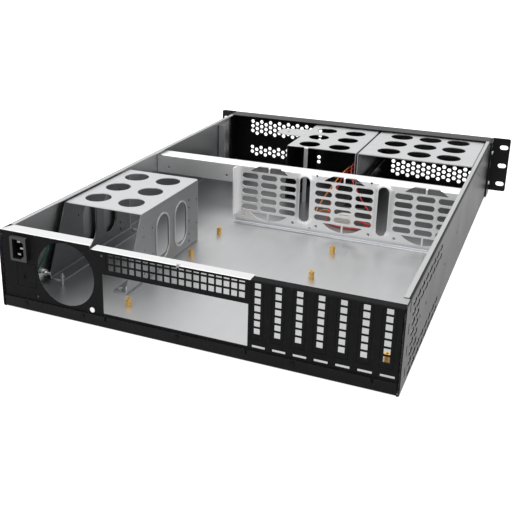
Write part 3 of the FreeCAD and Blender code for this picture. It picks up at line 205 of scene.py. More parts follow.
class CaseOpenings(bpy.types.PropertyGroup):
    """Sizes of the openings punched in the sheets"""
    cage_hole: length("Cage hole", "Radius of the round holes in the two drive cages", 15.6 * MM)
    bay_hole: length("Bay hole", "Radius of the round holes in the wide bay's cage", 16.6 * MM)
    rivet_hole: length("Rivet hole", "Radius of the small holes in the rear cage's sides", 1.6 * MM)
    slot_length: length("Fan slot length", "Length of a slot in a fan grille", 23.2 * MM)
    slot_height: length("Fan slot height", "Height of a slot in a fan grille", 7.9 * MM)
    fan_reach: length("Fan reach", "Radius of the circle that bounds a fan grille", 40.0 * MM)
    cap_edge: length("Cap edge", "Height above the fan's axis where the end slots start", 29.2 * MM)
    cap_web: length("Cap web", "Width of the strip between two end slots", 2.2 * MM)


class CaseStudio(bpy.types.PropertyGroup):
    """Light and camera"""
    surround: amount("Surround", "Light from all round on plain surfaces", 0.40, 5.0)
    softbox: bpy.props.FloatProperty(name="Softbox", description="Power of the softbox overhead",
                                     default=56.0, min=0.0, max=500.0, unit="POWER")
    side: bpy.props.FloatProperty(name="Side lamp", description="Power of the lamp on the camera's side",
                                  default=6.0, min=0.0, max=500.0, unit="POWER")
    lens: bpy.props.FloatProperty(name="Lens", description="Focal length", default=55.96, min=10.0,
                                  max=200.0, unit="CAMERA")
    shift_x: bpy.props.FloatProperty(name="Shift X", description="Sideways shift of the frame",
                                     default=0.0843, min=-1.0, max=1.0)
    shift_y: bpy.props.FloatProperty(name="Shift Y", description="Upward shift of the frame",
                                     default=-0.0976, min=-1.0, max=1.0)


def add(tree, kind, inputs=(), **settings):
    """Add a node to a tree, set it and feed its inputs by place or by name"""
    node = tree.nodes.new(kind)
    for name, value in settings.items():
        setattr(node, name, value)
    pairs = inputs.items() if isinstance(inputs, dict) else enumerate(inputs)
    for key, value in pairs:
        if isinstance(value, bpy.types.NodeSocket):
            tree.links.new(value, node.inputs[key])
        elif value is not None:
            node.inputs[key].default_value = value
    return node


def math_of(tree, operation, *inputs):
    """The result of a math node"""
    return add(tree, "ShaderNodeMath", inputs, operation=operation).outputs[0]


def colour_between(tree, factor, first, second):
    """A colour between two, by a factor"""
    node = add(tree, "ShaderNodeMix", {0: factor, 6: first, 7: second}, data_type="RGBA")
    return node.outputs[2]


def value_between(tree, factor, first, second):
    """A value between two, by a factor"""
    return add(tree, "ShaderNodeMix", {0: factor, 2: first, 3: second}, data_type="FLOAT").outputs[0]


def spread(tree, value, low, high, first=0.0, last=1.0):
    """A value stretched from one range onto another, and kept in it"""
    return add(tree, "ShaderNodeMapRange", (value, low, high, first, last)).outputs[0]


def noise(tree, where, scale, detail=3.0, roughness=0.55):
    """Cloudy noise, from 0 to 1"""
    inputs = {"Vector": where, "Scale": scale, "Detail": detail, "Roughness": roughness}
    return add(tree, "ShaderNodeTexNoise", inputs).outputs[0]


def shared_group(name, inputs, outputs):
    """An empty shader node group with named sockets, its entry and its exit"""
    tree = bpy.data.node_groups.new(name, "ShaderNodeTree")
    for label, kind, value in inputs:
        socket = tree.interface.new_socket(name=label, in_out="INPUT", socket_type="NodeSocket" + kind)
        socket.default_value = value
    for label, kind in outputs:
        tree.interface.new_socket(name=label, in_out="OUTPUT", socket_type="NodeSocket" + kind)
    return tree, tree.nodes.new("NodeGroupInput").outputs, tree.nodes.new("NodeGroupOutput").inputs


def object_place(tree):
    """The point on the surface in the case's own frame"""
    return add(tree, "ShaderNodeTexCoord").outputs["Object"]


def zinc_sheet_group():
    """Galvanised sheet: rolled streaks, faint spangle and a fine grain"""
    tree, given, out = shared_group("Zinc sheet", [
        ("Light", "Color", (0.8, 0.8, 0.8, 1.0)), ("Dark", "Color", (0.6, 0.6, 0.6, 1.0)),
        ("Streak Scale", "Vector", (40.0, 4.0, 40.0)), ("Spangle", "Float", 0.15),
        ("Smooth", "Float", 0.28), ("Rough", "Float", 0.42),
    ], [("Colour", "Color"), ("Roughness", "Float"), ("Height", "Float")])
    where = object_place(tree)
    along = add(tree, "ShaderNodeVectorMath", (where, given["Streak Scale"]), operation="MULTIPLY").outputs[0]
    streaks = noise(tree, along, 1.0, 4.0, 0.6)
    clouds = noise(tree, where, 14.0, 2.0)
    grain = noise(tree, where, 1400.0, 2.0)
    cells = add(tree, "ShaderNodeTexVoronoi", {"Vector": where, "Scale": 170.0}).outputs["Color"]
    flake = add(tree, "ShaderNodeSeparateColor", (cells,)).outputs[0]
    mixed = value_between(tree, given["Spangle"], streaks, flake)
    tone = spread(tree, math_of(tree, "ADD", mixed, clouds), 0.65, 1.35)
    fine = math_of(tree, "MULTIPLY_ADD", grain, 0.1, math_of(tree, "MULTIPLY", tone, 0.95))
    tree.links.new(colour_between(tree, fine, given["Dark"], given["Light"]), out["Colour"])
    tree.links.new(value_between(tree, tone, given["Rough"], given["Smooth"]), out["Roughness"])
    tree.links.new(grain, out["Height"])


def skin_group():
    """Paint film or moulded plastic: fine peel, slow drift of gloss and rubbed patches"""
    tree, given, out = shared_group("Skin", [
        ("Base", "Color", (0.01, 0.01, 0.01, 1.0)), ("Worn", "Color", (0.05, 0.05, 0.05, 1.0)),
        ("Peel Scale", "Float", 1500.0), ("Wear", "Float", 0.3),
        ("Smooth", "Float", 0.42), ("Rough", "Float", 0.58),
    ], [("Colour", "Color"), ("Roughness", "Float"), ("Height", "Float")])
    where = object_place(tree)
    peel = noise(tree, where, given["Peel Scale"], 2.0)
    drift = noise(tree, where, 18.0, 3.0)
    rubs = noise(tree, add(tree, "ShaderNodeVectorMath", (where, (220.0, 60.0, 220.0)),
                           operation="MULTIPLY").outputs[0], 1.0, 5.0, 0.65)
    worn = math_of(tree, "MULTIPLY", spread(tree, rubs, 0.52, 0.78), given["Wear"])
    tree.links.new(colour_between(tree, worn, given["Base"], given["Worn"]), out["Colour"])
    tree.links.new(value_between(tree, drift, given["Smooth"], given["Rough"]), out["Roughness"])
    tree.links.new(peel, out["Height"])


def turned_group():
    """Turned or plated small metal: fine rings along one way, tarnish and handling"""
    tree, given, out = shared_group("Turned metal", [
        ("Bright", "Color", (0.8, 0.8, 0.8, 1.0)), ("Tarnish", "Color", (0.5, 0.5, 0.5, 1.0)),
        ("Ring Scale", "Vector", (0.0, 0.0, 2600.0)), ("Amount", "Float", 0.4),
        ("Smooth", "Float", 0.22), ("Rough", "Float", 0.40),
    ], [("Colour", "Color"), ("Roughness", "Float"), ("Height", "Float")])
    where = object_place(tree)
    rings = noise(tree, add(tree, "ShaderNodeVectorMath", (where, given["Ring Scale"]),
                            operation="MULTIPLY").outputs[0], 1.0, 2.0)
    stain = noise(tree, where, 320.0, 3.0)
    mask = math_of(tree, "MULTIPLY", spread(tree, stain, 0.38, 0.72), given["Amount"])
    tree.links.new(colour_between(tree, mask, given["Bright"], given["Tarnish"]), out["Colour"])
    tree.links.new(value_between(tree, stain, given["Smooth"], given["Rough"]), out["Roughness"])
    tree.links.new(rings, out["Height"])


def outside_group():
    """Where a sheet's outer faces are: past a half width, a rear, a front or a bottom plane, or on its rim"""
    tree, given, out = shared_group("Outer face", [
        ("Half Width", "Float", 1.0), ("Rear", "Float", 1.0), ("Bottom", "Float", -1.0), ("Front", "Float", -1.0),
        ("Rim Width", "Float", 1.0), ("Rim Height", "Float", 1.0), ("Both Sides", "Float", 1.0),
    ], [("Mask", "Float")])
    place = add(tree, "ShaderNodeSeparateXYZ", (object_place(tree),)).outputs
    side = math_of(tree, "GREATER_THAN", math_of(tree, "ABSOLUTE", place[0]), given["Half Width"])
    rear = math_of(tree, "GREATER_THAN", place[1], given["Rear"])
    under = math_of(tree, "LESS_THAN", place[2], given["Bottom"])
    front = math_of(tree, "LESS_THAN", place[1], given["Front"])
    far = math_of(tree, "MULTIPLY", place[0], given["Both Sides"])
    off_middle = math_of(tree, "MAXIMUM", far, math_of(tree, "MULTIPLY", place[0], -1.0))
    wide = math_of(tree, "GREATER_THAN", off_middle, given["Rim Width"])
    rim = math_of(tree, "MULTIPLY", wide, math_of(tree, "GREATER_THAN", place[2], given["Rim Height"]))
    ends = math_of(tree, "MAXIMUM", rear, math_of(tree, "MAXIMUM", front, rim))
    tree.links.new(math_of(tree, "MAXIMUM", math_of(tree, "MAXIMUM", side, ends), under), out["Mask"])


def inside_group():
    """How far a point is inside a box, from 0 at its faces to 1 past a soft edge"""
    tree, given, out = shared_group("Inside of box", [
        ("Low", "Vector", (0.0, 0.0, 0.0)), ("High", "Vector", (0.1, 0.1, 0.1)), ("Edge", "Float", 0.001),
    ], [("Mask", "Float")])
    where = object_place(tree)
    above = add(tree, "ShaderNodeVectorMath", (where, given["Low"]), operation="SUBTRACT").outputs[0]
    below = add(tree, "ShaderNodeVectorMath", (given["High"], where), operation="SUBTRACT").outputs[0]
    nearest = add(tree, "ShaderNodeVectorMath", (above, below), operation="MINIMUM").outputs[0]
    parts = add(tree, "ShaderNodeSeparateXYZ", (nearest,)).outputs
    depth = math_of(tree, "MINIMUM", math_of(tree, "MINIMUM", parts[0], parts[1]), parts[2])
    tree.links.new(spread(tree, depth, 0.0, given["Edge"]), out["Mask"])


def group_in(tree, name, inputs):
    """Place a shared group in a material's tree, with this material's values"""
    node = tree.nodes.new("ShaderNodeGroup")
    node.node_tree = bpy.data.node_groups[name]
    for key, value in inputs.items():
        if isinstance(value, bpy.types.NodeSocket):
            tree.links.new(value, node.inputs[key])
        else:
            node.inputs[key].default_value = value
    return node.outputs


def new_finish(name, **constants):
    """A material with one Principled shader and its plain constants"""
    made = bpy.data.materials.new(name)
    made.use_nodes = True
    shader = made.node_tree.nodes["Principled BSDF"]
    for key, value in constants.items():
        shader.inputs[key.replace("_", " ")].default_value = value
    return made, made.node_tree, shader


def feed(tree, shader, colour_out, rough_out, height_out, strength, depth, metallic=None):
    """Wire colour, roughness, relief and, where it changes over the surface, metal into the shader"""
    tree.links.new(colour_out, shader.inputs["Base Color"])
    tree.links.new(rough_out, shader.inputs["Roughness"])
    bump = add(tree, "ShaderNodeBump", {"Strength": strength, "Distance": depth, "Height": height_out})
    tree.links.new(bump.outputs["Normal"], shader.inputs["Normal"])
    if metallic is not None:
        tree.links.new(metallic, shader.inputs["Metallic"])


def with_painted_shade(tree, shown, shade_boxes):
    """A colour darkened by painted shade inside boxes, given in the case's frame"""
    for shade_colour, low, high, edge in shade_boxes:
        mask = group_in(tree, "Inside of box", {"Low": low, "High": high, "Edge": edge})["Mask"]
        shown = colour_between(tree, mask, shown, shade_colour)
    return shown


def zinc_finish(name, light, dark, streaks, spangle, smooth, rough, shade_boxes=()):
    """Bare galvanised sheet, darkened by painted shade inside the boxes it is given"""
    made, tree, shader = new_finish(name, Metallic=1.0)
    zinc = group_in(tree, "Zinc sheet", {"Light": light, "Dark": dark, "Streak Scale": streaks,
                                         "Spangle": spangle, "Smooth": smooth, "Rough": rough})
    shown = with_painted_shade(tree, zinc["Colour"], shade_boxes)
    feed(tree, shader, shown, zinc["Roughness"], zinc["Height"], SHEET_BUMP, SHEET_RELIEF * MM)
    return made


def part_painted_finish(name, light, dark, streaks, limits, smooth, rough, film_smooth, film_rough,
                        shade_boxes):
    """Galvanised sheet whose outer faces are painted, and whose zinc is darkened by painted shade inside the
    boxes it is given
    """
    paints = bpy.context.scene.case_paints
    made, tree, shader = new_finish(name, IOR=1.2)
    zinc = group_in(tree, "Zinc sheet", {"Light": light, "Dark": dark, "Streak Scale": streaks,
                                         "Spangle": 0.03, "Smooth": smooth, "Rough": rough})
    film = group_in(tree, "Skin", {"Base": paints.paint, "Worn": paints.paint_worn, "Peel Scale": 1800.0,
                                   "Wear": 0.5, "Smooth": film_smooth, "Rough": film_rough})
    mask = group_in(tree, "Outer face", limits)["Mask"]
    shown = with_painted_shade(tree, zinc["Colour"], shade_boxes)
    feed(tree, shader, colour_between(tree, mask, shown, film["Colour"]),
         value_between(tree, mask, zinc["Roughness"], film["Roughness"]),
         value_between(tree, mask, zinc["Height"], film["Height"]), SHEET_BUMP, SHEET_RELIEF * MM,
         math_of(tree, "SUBTRACT", 1.0, mask))
    return made


def skin_finish(name, base, worn, peel, wear, smooth, rough, **constants):
    """Paint or moulded plastic all over"""
    made, tree, shader = new_finish(name, **constants)
    film = group_in(tree, "Skin", {"Base": base, "Worn": worn, "Peel Scale": peel, "Wear": wear,
                                   "Smooth": smooth, "Rough": rough})
    feed(tree, shader, film["Colour"], film["Roughness"], film["Height"], 0.3, 0.05 * MM)
    return made


def turned_finish(name, bright, tarnish, rings, share, smooth, rough):
    """Small turned or plated metal piece"""
    made, tree, shader = new_finish(name, Metallic=1.0)
    metal = group_in(tree, "Turned metal", {"Bright": bright, "Tarnish": tarnish, "Ring Scale": rings,
                                            "Amount": share, "Smooth": smooth, "Rough": rough})
    feed(tree, shader, metal["Colour"], metal["Roughness"], metal["Height"], 0.2, 0.03 * MM)
    return made


def dress(node_name, finish):
    """Give a CAD node its finish in every one of its material slots"""
    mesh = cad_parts[node_name].data
    if not mesh.materials:
        mesh.materials.append(finish)
    for index in range(len(mesh.materials)):
        mesh.materials[index] = finish


def round_outline(centre, radius, sides):
    """The corners of a round hole"""
    turns = [2 * math.pi * i / sides for i in range(sides)]
    return [(centre[0] + radius * math.cos(a), centre[1] + radius * math.sin(a)) for a in turns]


def slot_outline(centre, slot_length, slot_height, sides):
    """The corners of a level slot with round ends"""
    radius = slot_height / 2
    half = slot_length / 2 - radius
    corners = []
    for way in (1, -1):
        for i in range(sides + 1):
            angle = math.pi * i / sides - way * math.pi / 2
            corners.append((centre[0] + way * half + radius * math.cos(angle),
                            centre[1] + radius * math.sin(angle)))
    return corners


def cap_outline(centre, side, way, reach, edge, web, steps):
    """The corners of an end slot, between a level edge, a web and the fan's circle"""
    first = math.asin(edge / reach)
    last = math.acos(web / 2 / reach)
    arc = [first + (last - first) * i / steps for i in range(steps + 1)]
    corners = [(web / 2, edge)] + [(reach * math.cos(a), reach * math.sin(a)) for a in arc]
    return [(centre[0] + side * u, centre[1] + way * v) for u, v in corners]


def add_prism(body, outline, axis, start, end):
    """A straight prism along one axis, added to a mesh"""
    rings = []
    for depth in (start, end):
        place = {"x": lambda u, v: (depth, u, v), "y": lambda u, v: (u, depth, v),
                 "z": lambda u, v: (u, v, depth)}
        rings.append([body.verts.new(place[axis](u, v)) for u, v in outline])
        body.faces.new(rings[-1])
    low, high = rings
    for i in range(len(outline)):
        j = (i + 1) % len(outline)
        body.faces.new((low[i], low[j], high[j], high[i]))


def opened_sheet(name, node_name, cuts):
    """A copy of the sheet with wider and further openings punched in it, which stands for its CAD node"""
    body = bmesh.new()
    for outline, axis, start, end in cuts:
        add_prism(body, outline, axis, start, end)
    bmesh.ops.recalc_face_normals(body, faces=body.faces)
    punches = bpy.data.objects.new("Punches", bpy.data.meshes.new("Punches"))
    body.to_mesh(punches.data)
    body.free()
    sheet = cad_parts[node_name].data.copy()
    body = bmesh.new()
    body.from_mesh(sheet)
    bmesh.ops.remove_doubles(body, verts=body.verts, dist=WELD_DISTANCE * MM)
    body.to_mesh(sheet)
    body.free()
    made = bpy.data.objects.new(name, sheet)
    for thing in (made, punches):
        bpy.context.scene.collection.objects.link(thing)
    cut = made.modifiers.new("Openings", "BOOLEAN")
    cut.operation, cut.solver, cut.object = "DIFFERENCE", "EXACT", punches
    shaped = bpy.data.meshes.new_from_object(made.evaluated_get(bpy.context.evaluated_depsgraph_get()))
    made.modifiers.clear()
    made.data = shaped
    shaped.shade_smooth()
    shaped.set_sharp_from_angle(angle=math.radians(BEND_ANGLE))
    made.modifiers.new("Flat faces", "WEIGHTED_NORMAL").keep_sharp = True
    bpy.data.objects.remove(punches)
    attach(made, "case")
    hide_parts(node_name)


def top_holes(node_name, xs, ys, radius):
    """The round holes through the top of a cage"""
    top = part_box(node_name)[1][2]
    return [(round_outline((x * MM, y * MM), radius, HOLE_SIDES), "z", top - PUNCH_REACH * MM,
             top + PUNCH_ABOVE * MM) for x in xs for y in ys]


def lead_curve(name, points, diameter, finish):
    """A lead as one smooth spline along its route"""
    curve = bpy.data.curves.new(name, "CURVE")
    curve.dimensions = "3D"
    curve.bevel_depth = diameter / 2
    curve.bevel_resolution = 4
    curve.resolution_u = 10
    curve.use_fill_caps = True
    spline = curve.splines.new("NURBS")
    spline.points.add(len(points) - 1)
    for point, (x, y, z) in zip(spline.points, points):
        point.co = (x * MM, y * MM, z * MM, 1.0)
    spline.order_u = 3
    spline.use_endpoint_u = True
    curve.materials.append(finish)
    made = bpy.data.objects.new(name, curve)
    bpy.context.scene.collection.objects.link(made)
    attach(made, "case")
    return made


def free_lead(name, points, diameter, finish, node_name):
    """A lead that stands for its CAD node"""
    made = lead_curve(name, points, diameter, finish)
    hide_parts(node_name)


class CASE_OT_shared_finishes(bpy.types.Operator):
    """Build the node groups that the finishes share"""
    bl_idname = "case.shared_finishes"
    bl_label = "Shared finishes"

    def execute(self, context):
        zinc_sheet_group()
        skin_group()
        turned_group()
        outside_group()
        inside_group()
        return {"FINISHED"}


class CASE_OT_tray(bpy.types.Operator):
    """Finish the tray: bare zinc inside, painted outside, with painted shade darkening the zinc in the supply's
    bay and the front bay
    """
    bl_idname = "case.tray"
    bl_label = "Tray"

    def execute(self, context):
        metals = context.scene.case_metals
        under_rim = TRAY_HIGH[2] - RIM_DROP * MM
        limits = {"Half Width": TRAY_HIGH[0] - PAINT_DEPTH * MM, "Rear": TRAY_HIGH[1] - PAINT_DEPTH * MM,
                  "Bottom": PAINT_FOOT * MM, "Front": TRAY_LOW[1] - PAINT_AHEAD * MM,
                  "Rim Width": TRAY_HIGH[0] - RIM_INSET * MM, "Rim Height": under_rim}
        # Painted shade: boxes in the supply's bay and in front of the fan wall turn the zinc dark grey
        bay_shades = ((metals.tray_shade_and_pin_grey, (SUPPLY_BAY_X * MM, -FAR, -FAR), (FAR, FAR, under_rim),
                 SUPPLY_BAY_SHADE_FADE * MM),
                (metals.tray_shade_and_pin_grey, (-FAR, -FAR, -FAR), (FAR, FRONT_BAY_Y * MM, under_rim),
                 FRONT_BAY_SHADE_FADE * MM))
        dress("chassis_tray", part_painted_finish(
            "Tray sheet", metals.tray_light, metals.tray_dark, streaks=(60.0, 5.0, 60.0), limits=limits,
            smooth=0.34, rough=0.40, film_smooth=0.32, film_rough=0.42, shade_boxes=bay_shades))
        return {"FINISHED"}


class CASE_OT_rear_panel(bpy.types.Operator):
    """Finish the rear sheet: painted behind, bare on its flange and inside, with painted shade darkening its zinc
    below the flange's top and black film as a painted dark reflection on the flange over the slots
    """
    bl_idname = "case.rear_panel"
    bl_label = "Rear sheet"

    def execute(self, context):
        metals = context.scene.case_metals
        # Painted dark reflection: the rim band over the slots gets black film on the bare flange
        limits = {"Half Width": 1.0, "Rear": PANEL_HIGH[1] - PAINT_DEPTH * MM, "Bottom": -1.0, "Front": -1.0,
                  "Rim Width": PAINTED_REFLECTION_X * MM, "Rim Height": PANEL_HIGH[2] - PAINTED_REFLECTION_DROP * MM,
                  "Both Sides": 0.0}
        # Painted shade: the zinc below the flange's top turns dark grey
        shade_top = (*PANEL_HIGH[:2], PANEL_HIGH[2] - FLANGE_SHADE_DROP * MM)
        dress("rear_panel", part_painted_finish(
            "Rear sheet", metals.flange_light, metals.flange_dark, streaks=(5.0, 60.0, 60.0), limits=limits,
            smooth=0.30, rough=0.44, film_smooth=0.60, film_rough=0.75,
            shade_boxes=((metals.tray_shade_and_pin_grey, PANEL_LOW, shade_top, FLANGE_SHADE_FADE * MM),)))
        return {"FINISHED"}


class CASE_OT_fan_wall(bpy.types.Operator):
    """Finish the fan wall in bright zinc, with painted shade darkening its bottom edge where it meets the floor,
    and punch its grilles
    """
    bl_idname = "case.fan_wall"
    bl_label = "Fan wall"

    def execute(self, context):
        metals = context.scene.case_metals
        # Painted shade: the wall's zinc turns darker along its bottom edge, where it meets the floor
        foot_shade = (metals.cage_dark_and_foot_shade, (-FAR, -FAR, -FAR), (FAR, FAR, FOOT_SHADE_HEIGHT * MM), FOOT_SHADE_FADE * MM)
        dress("fan_wall", zinc_finish("Fan wall sheet", metals.wall_light, metals.wall_dark,
                                      streaks=(6.0, 60.0, 60.0), spangle=0.1, smooth=0.36, rough=0.46,
                                      shade_boxes=(foot_shade,)))
        opened_sheet("fan_wall_sheet", "fan_wall", self.grilles(context.scene.case_openings))
        return {"FINISHED"}

    def grilles(self, sizes):
        """Fifteen slots and four end slots for each of the three fans"""
        cuts = []
        for fan in FANS_X:
            centre = (fan * MM, FAN_Z * MM)
            for row in (-2, -1, 0, 1, 2):
                for column in (-1, 0, 1):
                    at = (centre[0] + column * SLOT_PITCH * MM, centre[1] + row * ROW_PITCH * MM)
                    cuts.append(slot_outline(at, sizes.slot_length, sizes.slot_height,
                                             SLOT_END_SIDES))
            for side in (-1, 1):
                for way in (-1, 1):
                    cuts.append(cap_outline(centre, side, way, sizes.fan_reach, sizes.cap_edge,
                                            sizes.cap_web, CAP_STEPS))
        start, end = FAN_FACE_Y * MM - PUNCH_REACH * MM, FAN_FACE_Y * MM + PUNCH_REACH * MM
        return [(outline, "y", start, end) for outline in cuts]


class CASE_OT_cages(bpy.types.Operator):
    """Finish the rear drive cage, the two front cages and the wall angle, with painted shade darkening the cages'
    inner faces and the wide bay cage's sides
    """
    bl_idname = "case.cages"
    bl_label = "Cages and angle"

    def execute(self, context):
        metals = context.scene.case_metals
        for node_name, label, light, dark, streaks, smooth, rough in (
            ("rear_drive_cage", "Rear cage sheet", metals.cage_light, metals.cage_dark_and_foot_shade,
             (50.0, 6.0, 50.0), 0.34, 0.48),
            ("front_drive_cage", "Middle cage sheet", metals.front_light, metals.front_dark,
             (6.0, 50.0, 50.0), 0.28, 0.44),
            ("bay_cage", "Bay cage sheet", metals.front_light, metals.front_dark,
             (6.0, 50.0, 50.0), 0.28, 0.44),
        ):
            low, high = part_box(node_name)
            # Painted shade: the cages' inner faces turn dark, and the wide bay cage's sides as well
            shade_inset = Vector((-2.0 if node_name == "bay_cage" else 0.8, 0.6, 0.8)) * MM
            shade_colour = metals.cage_shade_and_pin_tarnish if node_name == "rear_drive_cage" else metals.front_cage_shade
            shade_boxes = ((shade_colour, Vector(low) + shade_inset, Vector(high) - shade_inset, CAGE_SHADE_FADE * MM),)
            dress(node_name, zinc_finish(label, light, dark, streaks, spangle=0.2, smooth=smooth, rough=rough,
                                         shade_boxes=shade_boxes))
        self.openings(context.scene.case_openings)
        dress("wall_angle", zinc_finish("Angle sheet", metals.front_light, metals.front_dark,
                                        streaks=(50.0, 6.0, 50.0), spangle=0.2, smooth=0.32, rough=0.46))
        return {"FINISHED"}

    def openings(self, sizes):
        """Punch the three cages' round holes, and the small holes in the rear cage's sides"""
        rear = top_holes("rear_drive_cage", REAR_HOLES_X, REAR_HOLES_Y, sizes.cage_hole)
        low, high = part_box("rear_drive_cage")
        for y, heights in RIVET_COLUMNS:
            rear += [(round_outline((y * MM, z * MM), sizes.rivet_hole, RIVET_SIDES), "x", low[0] - MM,
                      high[0] + MM) for z in heights]
        opened_sheet("rear_cage_sheet", "rear_drive_cage", rear)
        opened_sheet("middle_cage_sheet", "front_drive_cage",
                     top_holes("front_drive_cage", MIDDLE_HOLES_X, MIDDLE_HOLES_Y, sizes.cage_hole))
        opened_sheet("bay_cage_sheet", "bay_cage",
                     top_holes("bay_cage", BAY_HOLES_X, BAY_HOLES_Y, sizes.bay_hole))


class CASE_OT_front(bpy.types.Operator):
    """Paint the front pan and the rack ears, and finish the bay cover, buttons, lights and board"""
    bl_idname = "case.front"
    bl_label = "Front"

    def execute(self, context):
        paints = context.scene.case_paints
        paint = skin_finish("Black paint", paints.paint, paints.paint_worn, peel=1800.0, wear=0.5,
                            smooth=0.30, rough=0.42, IOR=1.25)
        for node_name in ("front_panel", "ear_left", "ear_right"):
            dress(node_name, paint)
        plastic = skin_finish("Black plastic", paints.plastic, paints.plastic_worn, peel=2600.0, wear=0.4,
                              smooth=0.35, rough=0.50)
        for node_name in ("bay_cover", "power_button", "reset_button"):
            dress(node_name, plastic)
        dress("indicator_lights", skin_finish("Light lens", paints.lens, paints.lens, peel=900.0, wear=0.1,
                                              smooth=0.12, rough=0.22, Transmission_Weight=0.5, IOR=1.49))
        dress("control_board", skin_finish("Board mask", paints.laminate, paints.laminate_dark, peel=700.0,
                                           wear=1.0, smooth=0.25, rough=0.38))
        return {"FINISHED"}


class CASE_OT_inlet(bpy.types.Operator):
    """Finish the power inlet, its pins and the earth connection with its lead"""
    bl_idname = "case.inlet"
    bl_label = "Inlet and earth"

    def execute(self, context):
        paints, metals, leads = context.scene.case_paints, context.scene.case_metals, context.scene.case_leads
        dress("inlet_socket", skin_finish("Inlet plastic", paints.plastic, paints.plastic_worn, peel=2600.0,
                                          wear=0.3, smooth=0.28, rough=0.42))
        dress("inlet_pins", turned_finish("Pin tin", metals.tray_shade_and_pin_grey, metals.cage_shade_and_pin_tarnish,
                                          rings=(900.0, 900.0, 900.0), share=0.5, smooth=0.25, rough=0.40))
        dress("ring_terminal", turned_finish("Tin", metals.tin, metals.tray_dark,
                                             rings=(900.0, 900.0, 900.0), share=0.5, smooth=0.18,
                                             rough=0.34))
        made, tree, shader = new_finish("Earth jacket", Metallic=0.0)
        film = group_in(tree, "Skin", {"Base": paints.green, "Worn": paints.green, "Peel Scale": 2500.0,
                                       "Wear": 0.3, "Smooth": 0.35, "Rough": 0.48})
        facing = add(tree, "ShaderNodeSeparateXYZ", (add(tree, "ShaderNodeTexCoord").outputs["Normal"],))
        stripe = math_of(tree, "LESS_THAN", facing.outputs[1], -0.75)
        feed(tree, shader, colour_between(tree, stripe, film["Colour"], paints.yellow), film["Roughness"],
             film["Height"], 0.2, 0.03 * MM)
        free_lead("earth_wire", EARTH_LEAD_POINTS, leads.earth_diameter, made,
                  "earth_lead")
        return {"FINISHED"}


class CASE_OT_fasteners(bpy.types.Operator):
    """Finish the screws, studs, rivets and standoffs"""
    bl_idname = "case.fasteners"
    bl_label = "Fasteners"

    def execute(self, context):
        metals, paints = context.scene.case_metals, context.scene.case_paints
        zinc = turned_finish("Screw zinc", metals.screw, metals.tray_dark, rings=(700.0, 700.0, 700.0),
                             share=0.5, smooth=0.22, rough=0.38)
        for node_name in ("cage_screws", "ear_screws", "panel_screw", "floor_stud", "earth_stud", "earth_nut"):
            dress(node_name, zinc)
        dress("lip_rivets", skin_finish("Black rivet", paints.paint, paints.paint_worn, peel=1500.0,
                                        wear=0.5, smooth=0.50, rough=0.65, IOR=1.2))
        dress("standoffs", turned_finish("Standoff brass", metals.brass, metals.brass_dull,
                                         rings=(0.0, 0.0, 2600.0), share=0.6, smooth=0.24, rough=0.40))
        return {"FINISHED"}


class CASE_OT_control_leads(bpy.types.Operator):
    """Lay the control leads into their plug"""
    bl_idname = "case.control_leads"
    bl_label = "Control leads"

    def execute(self, context):
        paints, leads = context.scene.case_paints, context.scene.case_leads
        dress("control_plug", skin_finish("Plug nylon", paints.plug, paints.plug, peel=900.0, wear=0.2,
                                          smooth=0.30, rough=0.42))
        for name, points, real_length, shade, node_name in (
            ("power_wire", POWER_LEAD_POINTS, leads.power_length, paints.red, "power_switch_lead"),
            ("reset_wire", RESET_LEAD_POINTS, leads.reset_length, paints.orange, "reset_switch_lead"),
            ("light_wire", LIGHT_LEAD_POINTS, leads.light_length, paints.red, "indicator_lead"),
        ):
            jacket = skin_finish(name + " jacket", shade, shade, peel=2500.0, wear=0.2, smooth=0.32, rough=0.46)
            free_lead(name, points, leads.control_diameter, jacket, node_name)
        return {"FINISHED"}


